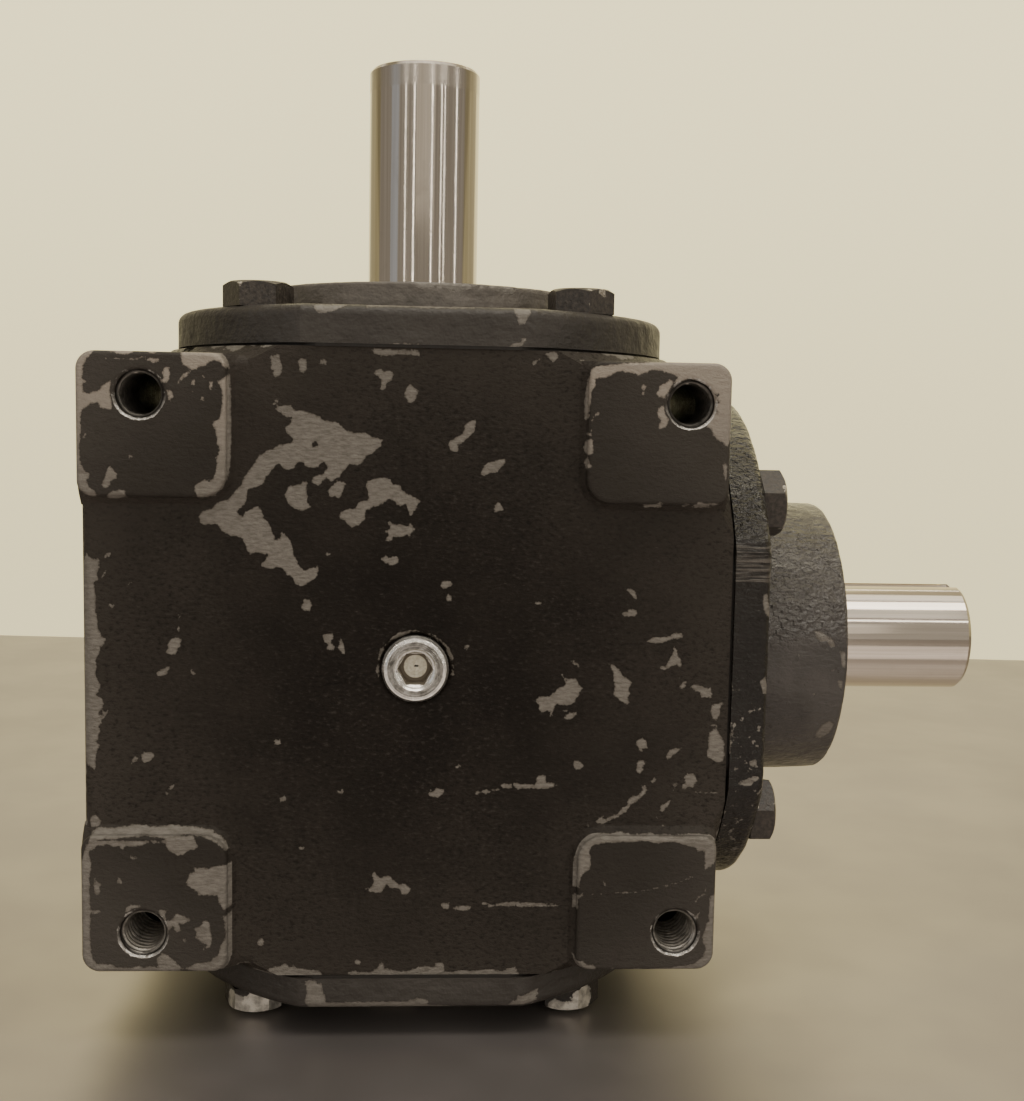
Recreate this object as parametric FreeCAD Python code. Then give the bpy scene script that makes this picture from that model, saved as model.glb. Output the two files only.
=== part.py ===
import FreeCAD, Part
import math
import os

# ---------------------------------------------------------------------------
# Right angle bevel gear reducer, millimetres.
# Frame: +Z up along the output shaft, +X along the input shaft, front face -Y.
# Origin: centre of the bottom cap's resting face, on the output shaft's axis.
# All sizes below are taken from the crossing point of the two shaft axes and
# lifted by AXIS_HEIGHT when the pieces are written.
# ---------------------------------------------------------------------------

AXIS_HEIGHT = 78.3          # resting face to the input shaft's axis

# shafts
SHAFT_R = 12.7              # 1 inch shafts
OUT_SHAFT_TOP = 130.4       # end of the output shaft above the crossing
IN_SHAFT_END = 131.3        # end of the input shaft from the crossing
SHAFT_CHAMFER = 0.8
KEY_W = 6.35                # 1/4 inch keyways on the free ends
KEYWAY_DEPTH = 3.2
OUT_KEYWAY_DEG = 67.5       # the output keyway, turned about +Z from the input side
RELIEF_R = 12.45            # shallow relief turned in each shaft where it leaves its seal
RELIEF_W = 0.9

# housing
HOUSING_LEFT = -67.15
HOUSING_RIGHT = 63.0
HOUSING_HALF_H = 63.0
HOUSING_HALF_D = 50.2       # main front and rear faces
PAD_PROUD = 2.9             # pads stand this far off the main faces
PAD_IN_LEFT = -37.8
PAD_IN_RIGHT = 34.0
PAD_IN_Z = 34.4
PAD_OUTER_R = 3.6           # corner radii of the pads seen from the front
PAD_INNER_R = 5.0
PAD_MID_R = 3.0
PAD_HOLE = 54.75            # tapped holes at +-54.75, a 109.5 mm square
PAD_HOLE_R = 4.7625         # 3/8 inch thread, through from the front pads to the rear pads
SEAT = 64.9                 # machined seats for the caps
SEAT_R = 57.4
SEAT_BASE_R = 60.2
BORE_R = 38.0               # pilot bores for the caps
CAVITY_LEFT = -54.0
CAVITY_RIGHT = 50.0
CAVITY_HALF_H = 51.0
CAVITY_HALF_D = 42.0
CAVITY_CORNER_R = 22.0

# caps
SHIM_T = 0.6
SHIM_R, SHIM_FLAT = 54.6, 50.6            # top and bottom shims
SIDE_SHIM_R, SIDE_SHIM_FLAT = 53.4, 49.4
FLANGE_R = 55.9             # top and bottom flanges
SIDE_FLANGE_R = 56.5
FLANGE_FLAT = 50.7
TOP_FLANGE_T = 7.8
BOTTOM_FLANGE_T = 6.8
SIDE_FLANGE_T = 7.8
TOP_BOSS_R = 36.0
TOP_BOSS_H = 6.15
BOTTOM_BOSS_R = 36.0
SIDE_BOSS_R = 32.0
SIDE_BOSS_BASE_R = 32.8
SIDE_BOSS_END = 95.9
PILOT_R = 37.95
PILOT_END = 53.5
SIDE_PILOT_END = 47.5

# cap bolts, 5/16 inch hex
BOLT_AT = 33.95             # bolts at (+-33.95, +-33.95), 96 mm pitch circle
BOLT_R = 3.95
BOLT_LEN = 19.0
BOLT_AF = 12.7
BOLT_HEAD = 5.2
BOLT_CLEAR_R = 4.35
BOLT_HOLE_R = 4.0
BOLT_HOLE_DEPTH = 12.5

# oil plugs, 1/4 inch pipe thread with hex socket
PLUG_R = 6.85
PLUG_PROUD = 2.0
PLUG_LEN = 10.2
PLUG_SOCKET_AF = 6.4
PLUG_SOCKET_DEPTH = 4.2
PLUG_LEAD_R = 4.35          # mouth of the socket's lead-in

# taper roller bearings, 25.4 x 50.3 x 14.2
BRG_BORE_R = 12.7
BRG_OUT_R = 25.146
BRG_W = 14.2
BRG_CUP_W = 10.7
BRG_MID = 7.6               # roller middle from the inner ring's back face
BRG_PITCH_R = 18.6
BRG_AXIS_DEG = 13.0
BRG_HALF_DEG = 2.0
BRG_ROLLERS = 15
BRG_ROLLER_L = 8.6
BRG_PLAY = 0.11
OUT_BRG = 51.5              # inner ring back faces of the output bearings
IN_BRG_A = 46.0             # pinion side bearing, back face
IN_BRG_B = 80.2             # outer bearing, back face

# bevel gears: 24 on 16 teeth, module 3, straight
MODULE = 3.0
GEAR_T = 24
PINION_T = 16
FACE_W = 13.0
PRESSURE_DEG = 20.0
FLANK_PLAY = 0.16           # each flank is set back by this
GEAR_SEAT_R = 14.3
GEAR_TOP = 18.0
GEAR_BOTTOM = 44.0
PINION_SEAT_R = 10.0
PINION_FRONT = 25.5
PINION_BACK = 43.0

V = FreeCAD.Vector
X, Y, Z = V(1, 0, 0), V(0, 1, 0), V(0, 0, 1)
O = V(0, 0, 0)


def cyl(r, h, at, direction):
    return Part.makeCylinder(r, h, at, direction)


def box(x0, x1, y0, y1, z0, z1):
    return Part.makeBox(x1 - x0, y1 - y0, z1 - z0, V(x0, y0, z0))


def revolve(points, axis):
    """Solid of revolution from (radius, along) points."""
    if axis is Z:
        vs = [V(r, 0, a) for r, a in points]
    else:
        vs = [V(a, 0, r) for r, a in points]
    wire = Part.makePolygon(vs + [vs[0]])
    solid = Part.Face(wire).revolve(O, axis, 360)
    if solid.Volume < 0:
        solid.reverse()
    return solid


def ring(r_out, r_in, h, at, direction):
    return cyl(r_out, h, at, direction).cut(cyl(r_in, h, at, direction))


def fillet_where(shape, radius, test):
    edges = [e for e in shape.Edges if test(e)]
    if not edges:
        return shape
    try:
        out = shape.makeFillet(radius, edges)
        if out.isValid() and out.Volume > 0:
            return out
    except Exception:
        pass
    for e in edges:
        try:
            out = shape.makeFillet(radius, [e])
            if out.isValid() and out.Volume > 0:
                shape = out
        except Exception:
            continue
    return shape


def single(shape):
    """The one solid of a boolean result."""
    shape = shape.removeSplitter()
    solids = shape.Solids
    return max(solids, key=lambda s: s.Volume)


def along(shape, direction):
    """Turn a shape built on +Z so that its axis lies on the given direction."""
    s = shape.copy()
    s.Placement = FreeCAD.Placement(O, FreeCAD.Rotation(Z, direction)).multiply(s.Placement)
    return s


# ---------------------------------------------------------------------------
# Housing
# ---------------------------------------------------------------------------

def rounded_rect_prism(x0, x1, z0, z1, radii, y0, y1):
    """Prism along Y; radii for corners (x0,z0), (x1,z0), (x1,z1), (x0,z1)."""
    corners = [(x0, z0), (x1, z0), (x1, z1), (x0, z1)]
    edges = []
    pts = []
    for i, (cx, cz) in enumerate(corners):
        px, pz = corners[i - 1]
        nx, nz = corners[(i + 1) % 4]
        r = radii[i]
        lp = math.hypot(px - cx, pz - cz)
        ln = math.hypot(nx - cx, nz - cz)
        ax, az = cx + (px - cx) / lp * r, cz + (pz - cz) / lp * r
        bx, bz = cx + (nx - cx) / ln * r, cz + (nz - cz) / ln * r
        ox, oz = ax + bx - cx, az + bz - cz
        dx, dz = cx - ox, cz - oz
        d = math.hypot(dx, dz)
        mx, mz = ox + dx / d * r, oz + dz / d * r
        pts.append((V(ax, y0, az), V(mx, y0, mz), V(bx, y0, bz)))
    for i in range(4):
        a, m, b = pts[i]
        edges.append(Part.Arc(a, m, b).toShape())
        edges.append(Part.LineSegment(b, pts[(i + 1) % 4][0]).toShape())
    face = Part.Face(Part.Wire(edges))
    return face.extrude(V(0, y1 - y0, 0))


def make_housing():
    D = HOUSING_HALF_D
    H = HOUSING_HALF_H
    body = rounded_rect_prism(HOUSING_LEFT, HOUSING_RIGHT, -H, H, [PAD_OUTER_R] * 4, -D, D)
    body = fillet_where(body, 2.4, lambda e: abs(abs(e.CenterOfMass.y) - D) < 1e-6)

    # raised round seats for the caps, trimmed flush with the main faces, which run on into them
    slab = box(-100, 100, -D, D, -100, 100)
    for direction in (Z, V(0, 0, -1), X):
        seat = Part.makeCone(SEAT_BASE_R, SEAT_R, SEAT - 62.0, direction * 62.0, direction)
        seat = seat.fuse(cyl(SEAT_BASE_R, 8.0, direction * 54.0, direction))
        body = body.fuse(seat.common(slab))
    body = single(body)

    # four pads on the front and four on the rear
    outline = rounded_rect_prism(HOUSING_LEFT, HOUSING_RIGHT, -H, H, [PAD_OUTER_R] * 4, -100, 100)
    for side in (-1, 1):
        for x0, x1, left in ((HOUSING_LEFT, PAD_IN_LEFT, True), (PAD_IN_RIGHT, HOUSING_RIGHT, False)):
            for up in (1, -1):
                z0, z1 = (PAD_IN_Z, H) if up > 0 else (-H, -PAD_IN_Z)
                outer, inner, mid = PAD_OUTER_R, PAD_INNER_R, PAD_MID_R
                # corner radii in the order (x0,z0), (x1,z0), (x1,z1), (x0,z1)
                if left and up > 0:
                    radii = [mid, inner, mid, outer]
                elif left:
                    radii = [outer, mid, inner, mid]
                elif up > 0:
                    radii = [inner, mid, outer, mid]
                else:
                    radii = [mid, outer, mid, inner]
                face_y = side * (D + PAD_PROUD)
                pad = rounded_rect_prism(x0, x1, z0, z1, radii, side * (D - 6), face_y)
                pad = fillet_where(pad, 0.9, lambda e: abs(e.CenterOfMass.y - face_y) < 1e-6)
                # soft flare where the pad meets the main face: a frustum with 45 degree sides that
                # starts inside the body and is trimmed flush with the housing's outline
                rise, bury = 1.5, 1.2
                grow = rise + bury
                top = rounded_rect_prism(x0, x1, z0, z1, radii, side * (D + rise), side * (D + rise - 0.1))
                low = rounded_rect_prism(x0 - grow, x1 + grow, z0 - grow, z1 + grow, [r + grow for r in radii],
                                         side * (D - bury), side * (D - bury - 0.1))
                wt = max(top.Faces, key=lambda f: f.CenterOfMass.y * side).OuterWire
                wl = max(low.Faces, key=lambda f: f.CenterOfMass.y * side).OuterWire
                flare = Part.makeLoft([wl, wt], True, True).common(outline)
                body = body.fuse([pad, flare])
    body = single(body)

    # inside: one room with rounded corners, and the three pilot bores
    room = rounded_rect_prism(CAVITY_LEFT, CAVITY_RIGHT, -CAVITY_HALF_H, CAVITY_HALF_H,
                              [CAVITY_CORNER_R] * 4, -CAVITY_HALF_D, CAVITY_HALF_D)
    room = fillet_where(room, 4.0, lambda e: abs(abs(e.CenterOfMass.y) - CAVITY_HALF_D) < 1e-6)
    tools = [room,
             cyl(BORE_R, 60, V(0, 0, 20), Z),
             cyl(BORE_R, 60, V(0, 0, -20), V(0, 0, -1)),
             cyl(BORE_R, 60, V(20, 0, 0), X)]

    # tapped pad holes, each run through from front to rear with a countersink at both mouths
    face = D + PAD_PROUD
    for sx in (-1, 1):
        for sz in (-1, 1):
            px, pz = sx * PAD_HOLE, sz * PAD_HOLE
            tools.append(cyl(PAD_HOLE_R, 2 * face, V(px, -face, pz), Y))
            for side in (-1, 1):
                tools.append(Part.makeCone(5.25, PAD_HOLE_R, 0.5, V(px, side * face, pz), V(0, -side, 0)))
    # oil plug holes
    for side in (-1, 1):
        into = V(0, -side, 0)
        tools.append(cyl(PLUG_R, 30, V(0, side * (D + 1), 0), into))
        tools.append(Part.makeCone(7.8, PLUG_R, 0.95, V(0, side * D, 0), into))

    # tapped holes under the caps
    for a in (-1, 1):
        for b in (-1, 1):
            p, q = a * BOLT_AT, b * BOLT_AT
            tools.append(cyl(BOLT_HOLE_R, BOLT_HOLE_DEPTH, V(p, q, SEAT), V(0, 0, -1)))
            tools.append(cyl(BOLT_HOLE_R, BOLT_HOLE_DEPTH, V(p, q, -SEAT), Z))
            tools.append(cyl(BOLT_HOLE_R, BOLT_HOLE_DEPTH, V(SEAT, p, q), V(-1, 0, 0)))
    return single(body.cut(tools))


# ---------------------------------------------------------------------------
# Caps, shims and cap bolts. Each is built on +Z and turned onto its axis.
# ---------------------------------------------------------------------------

def flange(r, z0, z1, round_edge):
    f = cyl(r, z1 - z0, V(0, 0, z0), Z)
    f = f.common(box(-100, 100, -FLANGE_FLAT, FLANGE_FLAT, z0, z1))
    return fillet_where(f, round_edge, lambda e: abs(e.CenterOfMass.z - z1) < 1e-6
                        and abs(e.BoundBox.ZMax - e.BoundBox.ZMin) < 1e-6)


def bolt_holes(z0, z1):
    return [cyl(BOLT_CLEAR_R, z1 - z0, V(a * BOLT_AT, b * BOLT_AT, z0), Z)
            for a in (-1, 1) for b in (-1, 1)]


def make_top_cap():
    z0 = SEAT + SHIM_T
    z1 = z0 + TOP_FLANGE_T
    z2 = z1 + TOP_BOSS_H
    cap = flange(FLANGE_R, z0, z1, 2.2)
    boss = Part.makeCone(TOP_BOSS_R + 0.5, TOP_BOSS_R, z2 - z1 + 1, V(0, 0, z1 - 1), Z)
    boss = fillet_where(boss, 0.9, lambda e: abs(e.CenterOfMass.z - z2) < 1e-6)
    pilot = cyl(PILOT_R, z0 - PILOT_END, V(0, 0, PILOT_END), Z)
    cap = cap.fuse([boss, pilot])
    tools = [cyl(25.16, OUT_BRG + BRG_W - PILOT_END + 10, V(0, 0, PILOT_END - 10), Z),
             cyl(18.0, 20, V(0, 0, 60), Z),
             cyl(20.02, 20, V(0, 0, z2 - 7.5), Z),
             Part.makeCone(20.02, 20.62, 0.6, V(0, 0, z2 - 0.6), Z)]
    return single(cap.cut(tools + bolt_holes(z0 - 1, z1 + 1)))


def make_bottom_cap():
    z0 = SEAT + SHIM_T
    z1 = z0 + BOTTOM_FLANGE_T
    z2 = AXIS_HEIGHT
    cap = flange(FLANGE_R, z0, z1, 2.0)
    boss = Part.makeCone(BOTTOM_BOSS_R + 0.6, BOTTOM_BOSS_R, z2 - z1 + 1, V(0, 0, z1 - 1), Z)
    boss = fillet_where(boss, 0.8, lambda e: abs(e.CenterOfMass.z - z2) < 1e-6)
    pilot = cyl(PILOT_R, z0 - PILOT_END, V(0, 0, PILOT_END), Z)
    cap = cap.fuse([boss, pilot])
    tools = [cyl(25.16, OUT_BRG + BRG_W - PILOT_END + 10, V(0, 0, PILOT_END - 10), Z),
             cyl(18.0, 71.0 - 60, V(0, 0, 60), Z)]
    return single(cap.cut(tools + bolt_holes(z0 - 1, z1 + 1)))


def make_side_cap():
    z0 = SEAT + SHIM_T
    z1 = z0 + SIDE_FLANGE_T
    z2 = SIDE_BOSS_END
    cap = flange(SIDE_FLANGE_R, z0, z1, 2.2)
    boss = Part.makeCone(SIDE_BOSS_BASE_R, SIDE_BOSS_R, z2 - z1 + 1, V(0, 0, z1 - 1), Z)
    boss = fillet_where(boss, 1.6, lambda e: abs(e.CenterOfMass.z - z2) < 1e-6)
    pilot = cyl(PILOT_R, z0 - SIDE_PILOT_END, V(0, 0, SIDE_PILOT_END), Z)
    cap = cap.fuse([boss, pilot])
    tools = [cyl(25.16, IN_BRG_A + BRG_W - SIDE_PILOT_END + 10, V(0, 0, SIDE_PILOT_END - 10), Z),
             cyl(20.5, 20, V(0, 0, 52), Z),
             cyl(25.16, 60, V(0, 0, IN_BRG_B - BRG_W), Z),
             Part.makeCone(25.16, 25.86, 0.7, V(0, 0, z2 - 0.7), Z)]
    return single(cap.cut(tools + bolt_holes(z0 - 1, z1 + 1)))


def make_shim(r, flat):
    z0, z1 = SEAT, SEAT + SHIM_T
    s = cyl(r, SHIM_T, V(0, 0, z0), Z)
    s = s.common(box(-100, 100, -flat, flat, z0, z1))
    return single(s.cut([cyl(BORE_R + 0.3, SHIM_T, V(0, 0, z0), Z)] + bolt_holes(z0 - 1, z1 + 1)))


def hex_prism(af, h, at):
    r = af / math.sqrt(3.0)
    pts = [V(r * math.cos(math.radians(60 * k)), r * math.sin(math.radians(60 * k)), 0) for k in range(6)]
    f = Part.Face(Part.makePolygon(pts + [pts[0]]))
    p = f.extrude(V(0, 0, h))
    p.translate(at)
    return p


def make_bolt(under_head, turn):
    head = hex_prism(BOLT_AF, BOLT_HEAD, O)
    rc = BOLT_AF / math.sqrt(3.0)
    crown = revolve([(0, 0), (rc + 0.2, 0), (rc + 0.2, BOLT_HEAD - 0.95), (BOLT_AF / 2 - 0.35, BOLT_HEAD), (0, BOLT_HEAD)], Z)
    head = head.common(crown)
    head.rotate(O, Z, turn)
    shank = cyl(BOLT_R, BOLT_LEN, V(0, 0, -BOLT_LEN), Z)
    end = Part.makeCone(BOLT_R - 0.9, BOLT_R, 0.9, V(0, 0, -BOLT_LEN), Z)
    shank = shank.cut(cyl(BOLT_R + 1, 0.9, V(0, 0, -BOLT_LEN), Z)).fuse(end)
    b = single(head.fuse(shank))
    b.translate(V(0, 0, under_head))
    return b


def make_bolts(flange_t, turns):
    out = []
    k = 0
    for a in (-1, 1):
        for b in (-1, 1):
            s = make_bolt(SEAT + SHIM_T + flange_t, turns[k])
            s.translate(V(a * BOLT_AT, b * BOLT_AT, 0))
            out.append(s)
            k += 1
    return Part.makeCompound(out)


def make_plug(side):
    y_out = HOUSING_HALF_D + PLUG_PROUD
    r = PLUG_R - 0.03
    body = revolve([(0, y_out - PLUG_LEN), (r - 0.8, y_out - PLUG_LEN), (r, y_out - PLUG_LEN + 0.8),
                    (r, y_out - 1.1), (r - 0.45, y_out - 0.35), (r - 1.2, y_out), (0, y_out)], Z)
    sock = hex_prism(PLUG_SOCKET_AF, PLUG_SOCKET_DEPTH, V(0, 0, y_out - PLUG_SOCKET_DEPTH))
    lead = Part.makeCone(PLUG_SOCKET_AF / 2 - 0.05, PLUG_LEAD_R, 1.0, V(0, 0, y_out - 1.0), Z)
    body = single(body.cut([sock, lead]))
    return along(body, V(0, side, 0))


# ---------------------------------------------------------------------------
# Shafts
# ---------------------------------------------------------------------------

def make_output_shaft():
    c = SHAFT_CHAMFER
    free = SEAT + SHIM_T + TOP_FLANGE_T + TOP_BOSS_H     # where the free end leaves the top cap
    s = revolve([(0, -66.5), (SHAFT_R - 0.8, -66.5), (SHAFT_R, -65.7), (SHAFT_R, -GEAR_BOTTOM),
                 (GEAR_SEAT_R, -GEAR_BOTTOM), (GEAR_SEAT_R, -GEAR_TOP), (17.5, -GEAR_TOP), (17.5, -12.0),
                 (15.5, -12.0), (15.5, OUT_BRG), (SHAFT_R, OUT_BRG),
                 (SHAFT_R, free - RELIEF_W), (RELIEF_R, free - RELIEF_W), (RELIEF_R, free), (SHAFT_R, free),
                 (SHAFT_R, OUT_SHAFT_TOP - c), (SHAFT_R - c * 0.75, OUT_SHAFT_TOP), (0, OUT_SHAFT_TOP)], Z)
    # keyway on the free end, at the rear
    start = OUT_SHAFT_TOP - 44.0
    slot = box(-KEY_W / 2, KEY_W / 2, SHAFT_R - KEYWAY_DEPTH, 20, start, OUT_SHAFT_TOP + 1)
    slot = slot.fuse(cyl(KEY_W / 2, 20, V(0, SHAFT_R - KEYWAY_DEPTH, start), Y))
    slot.rotate(O, Z, OUT_KEYWAY_DEG - 90)
    # keyway under the gear
    gslot = box(-KEY_W / 2, KEY_W / 2, GEAR_SEAT_R - 3.2, 20, -43.0, -21.0)
    return single(s.cut([slot, gslot]))


def make_gear_key():
    return box(-KEY_W / 2, KEY_W / 2, GEAR_SEAT_R - 3.2, GEAR_SEAT_R - 3.2 + 6.0, -43.0, -21.0)


def make_gear_spacer():
    return ring(17.0, SHAFT_R + 0.03, OUT_BRG - GEAR_BOTTOM, V(0, 0, -OUT_BRG), Z)


def make_input_shaft():
    c = SHAFT_CHAMFER
    free = SIDE_BOSS_END                                 # where the free end leaves the side cap
    s = revolve([(0, 21.8), (PINION_SEAT_R - 0.8, 21.8), (PINION_SEAT_R, 22.6), (PINION_SEAT_R, 24.2),
                 (8.9, 24.2), (8.9, PINION_FRONT), (PINION_SEAT_R, PINION_FRONT), (PINION_SEAT_R, PINION_BACK),
                 (SHAFT_R, PINION_BACK), (SHAFT_R, free - RELIEF_W), (RELIEF_R, free - RELIEF_W),
                 (RELIEF_R, free), (SHAFT_R, free), (SHAFT_R, IN_SHAFT_END - c),
                 (SHAFT_R - c * 0.75, IN_SHAFT_END), (0, IN_SHAFT_END)], X)
    # keyway on the free end, on top
    start = SIDE_BOSS_END + 4.2
    slot = box(start, IN_SHAFT_END + 1, -KEY_W / 2, KEY_W / 2, SHAFT_R - KEYWAY_DEPTH, 20)
    slot = slot.fuse(cyl(KEY_W / 2, 20, V(start, 0, SHAFT_R - KEYWAY_DEPTH), Z))
    pslot = box(27.0, 42.0, -2.5, 2.5, PINION_SEAT_R - 2.6, 20)
    # slot for the lock washer's inner tab
    wslot = box(IN_BRG_B, IN_BRG_B + 7.2, -2.2, 2.2, -20, -SHAFT_R + 1.6)
    return single(s.cut([slot, pslot, wslot]))


def make_pinion_key():
    return box(27.0, 42.0, -2.5, 2.5, PINION_SEAT_R - 2.6, PINION_SEAT_R + 2.2)


def make_pinion_spacer():
    return ring(17.0, SHAFT_R + 0.03, IN_BRG_A - PINION_BACK, V(PINION_BACK, 0, 0), X)


def make_retaining_ring():
    r = ring(12.2, 8.95, 1.1, V(24.22, 0, 0), X)
    lug = cyl(1.9, 1.1, V(24.22, 3.6, 11.2), X).fuse(cyl(1.9, 1.1, V(24.22, -3.6, 11.2), X))
    gap = box(23, 27, -1.6, 1.6, 0, 20)
    eye = [cyl(0.8, 4, V(23, 3.6, 11.4), X), cyl(0.8, 4, V(23, -3.6, 11.4), X)]
    bore = cyl(8.95, 4, V(23, 0, 0), X)
    return single(r.fuse(lug).cut([gap, bore] + eye))


def make_lock_washer():
    x0 = IN_BRG_B
    w = ring(18.0, SHAFT_R + 0.05, 1.2, V(x0, 0, 0), X)
    tabs = []
    for k in range(9):
        t = box(x0, x0 + 1.2, -1.6, 1.6, 17.0, 20.4)
        t.rotate(O, X, 40 * k + 20)
        tabs.append(t)
    inner = box(x0, x0 + 1.2, -2.1, 2.1, -14.0, -SHAFT_R + 1.5)
    return single(w.fuse(tabs + [inner]))


def make_lock_nut():
    x0 = IN_BRG_B + 1.2
    n = ring(18.4, SHAFT_R + 0.02, 6.0, V(x0, 0, 0), X)
    slots = []
    for k in range(4):
        s = box(x0 - 1, x0 + 8, -2.4, 2.4, 16.4, 22)
        s.rotate(O, X, 90 * k + 20)
        slots.append(s)
    return single(n.cut(slots))


# ---------------------------------------------------------------------------
# Seals: lip seal with a garter spring; (0 is the oil side)
# ---------------------------------------------------------------------------

def make_seal(r_out, z0):
    r = r_out
    pts = [(r, 0.4), (r - 0.4, 0), (r - 2.4, 0), (r - 2.4, 5.0), (15.9, 5.0), (15.3, 1.3), (13.7, 1.0),
           (SHAFT_R + 0.05, 2.2), (13.4, 4.5), (SHAFT_R + 0.15, 5.9), (SHAFT_R + 0.35, 6.25), (14.6, 6.4),
           (15.2, 7.0), (r, 7.0)]
    return revolve([(a, z0 + b) for a, b in pts], Z)


def make_garter(z0):
    t = Part.makeTorus(16.15, 0.62, V(0, 0, z0 + 2.1), Z)
    return t


# ---------------------------------------------------------------------------
# Taper roller bearing on +Z, back face of the inner ring at z = 0, the rollers'
# small ends towards +z
# ---------------------------------------------------------------------------

def make_bearing():
    ax = math.radians(BRG_AXIS_DEG)
    ha = math.radians(BRG_HALF_DEG)
    apex = BRG_MID + BRG_PITCH_R / math.tan(ax)

    def inner_race(z):
        return (apex - z) * math.tan(ax - ha)

    def outer_race(z):
        return (apex - z) * math.tan(ax + ha)

    cone = revolve([(BRG_BORE_R, 0.5), (BRG_BORE_R + 0.5, 0), (17.9, 0), (18.2, 0.3), (18.2, 2.45),
                    (inner_race(2.45), 2.45), (inner_race(11.9), 11.9), (15.4, 11.9), (15.4, BRG_W),
                    (BRG_BORE_R + 0.4, BRG_W), (BRG_BORE_R, BRG_W - 0.4)], Z)
    c0 = BRG_W - BRG_CUP_W
    cup = revolve([(outer_race(c0), c0), (BRG_OUT_R - 0.5, c0), (BRG_OUT_R, c0 + 0.5), (BRG_OUT_R, BRG_W - 0.5),
                   (BRG_OUT_R - 0.5, BRG_W), (outer_race(BRG_W), BRG_W)], Z)

    reach = BRG_PITCH_R / math.sin(ax)

    def roller(extra_r, extra_l):
        half = BRG_ROLLER_L / 2 + extra_l
        r_big = (reach + half) * math.tan(ha) - BRG_PLAY + extra_r
        r_small = (reach - half) * math.tan(ha) - BRG_PLAY + extra_r
        # direction from the big end towards the apex
        d = V(-math.sin(ax), 0, math.cos(ax))
        mid = V(BRG_PITCH_R, 0, BRG_MID)
        r = Part.makeCone(r_big, r_small, 2 * half, mid - d * half, d)
        if extra_r == 0:
            r = fillet_where(r, 0.35, lambda e: isinstance(e.Curve, Part.Circle))
        return r

    rollers, pockets = [], []
    for k in range(BRG_ROLLERS):
        a = roller(0, 0)
        a.rotate(O, Z, 360.0 / BRG_ROLLERS * k)
        rollers.append(a)
        p = roller(0.22, 0.28)
        p.rotate(O, Z, 360.0 / BRG_ROLLERS * k)
        pockets.append(p)

    n = (math.cos(ax), math.sin(ax))        # outward normal in (radius, z)
    t = (math.sin(ax), -math.cos(ax))       # towards the big end

    def at(along_t, along_n):
        return (BRG_PITCH_R + t[0] * along_t + n[0] * along_n, BRG_MID + t[1] * along_t + n[1] * along_n)

    cage = revolve([at(5.6, -0.5), at(5.6, 0.5), at(-5.6, 0.5), at(-5.6, -0.5)], Z)
    cage = single(cage.cut(pockets))
    return cone, cup, Part.makeCompound(rollers), cage


# ---------------------------------------------------------------------------
# Straight bevel gears. The pitch cones share their apex at the crossing point.
# Tooth spaces are cut by ruled solids that all point at that apex.
# ---------------------------------------------------------------------------

def tooth_space(teeth, mate):
    """Cutter for one tooth space on a gear whose axis is +Z and whose apex is
    at the origin; the space is centred on the +X side."""
    r = MODULE * teeth / 2.0
    rm = MODULE * mate / 2.0
    delta = math.atan2(r, rm)
    rv = r / math.cos(delta)
    apex_b = rm + r * math.tan(delta)
    rb = rv * math.cos(math.radians(PRESSURE_DEG))
    root = rv - 1.25 * MODULE
    top = rv + 1.6 * MODULE
    # half angle of the space at the pitch circle, in the developed back cone
    half_pitch = math.pi * MODULE / (4.0 * rv)
    inv_p = math.tan(math.radians(PRESSURE_DEG)) - math.radians(PRESSURE_DEG)
    play = FLANK_PLAY / rv

    def half_angle(rho):
        if rho <= rb:
            inv = 0.0
        else:
            a = math.acos(rb / rho)
            inv = math.tan(a) - a
        return half_pitch - inv_p + inv + play

    def point(rho, theta):
        phi = theta / math.cos(delta)
        rad = rho * math.cos(delta)
        return V(rad * math.cos(phi), rad * math.sin(phi), apex_b - rho * math.sin(delta))

    element = V(r, 0, rm)
    length = element.Length
    e = element * (1.0 / length)
    steps = 7
    rhos = [root + (top - root) * k / steps for k in range(steps + 1)]
    left = [point(q, -half_angle(q)) for q in rhos]
    right = [point(q, half_angle(q)) for q in rhos]

    def on_plane(p, dist):
        return p * (dist / (p.dot(e)))

    def wire(dist):
        lp = [on_plane(p, dist) for p in left]
        rp = [on_plane(p, dist) for p in right]
        a = Part.BSplineCurve()
        a.interpolate(lp)
        b = Part.BSplineCurve()
        b.interpolate(rp[::-1])
        return Part.Wire([a.toShape(), Part.LineSegment(lp[-1], rp[-1]).toShape(), b.toShape(),
                          Part.LineSegment(rp[0], lp[0]).toShape()])

    return Part.makeLoft([wire((length - FACE_W) * 0.86), wire(length * 1.16)], True, True)


def cone_points(teeth, mate):
    r = MODULE * teeth / 2.0
    rm = MODULE * mate / 2.0
    delta = math.atan2(r, rm)
    rv = r / math.cos(delta)
    apex_b = rm + r * math.tan(delta)
    length = math.hypot(r, rm)
    s = (length - FACE_W) / length

    def at(rho):
        return (rho * math.cos(delta), apex_b - rho * math.sin(delta))

    return at(rv + MODULE), s, at, rv


def cut_teeth(blank, teeth, mate, first):
    tool = tooth_space(teeth, mate)
    tools = []
    for k in range(teeth):
        t = tool.copy()
        t.rotate(O, Z, first + 360.0 / teeth * k)
        tools.append(t)
    return single(blank.cut(tools))


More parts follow.
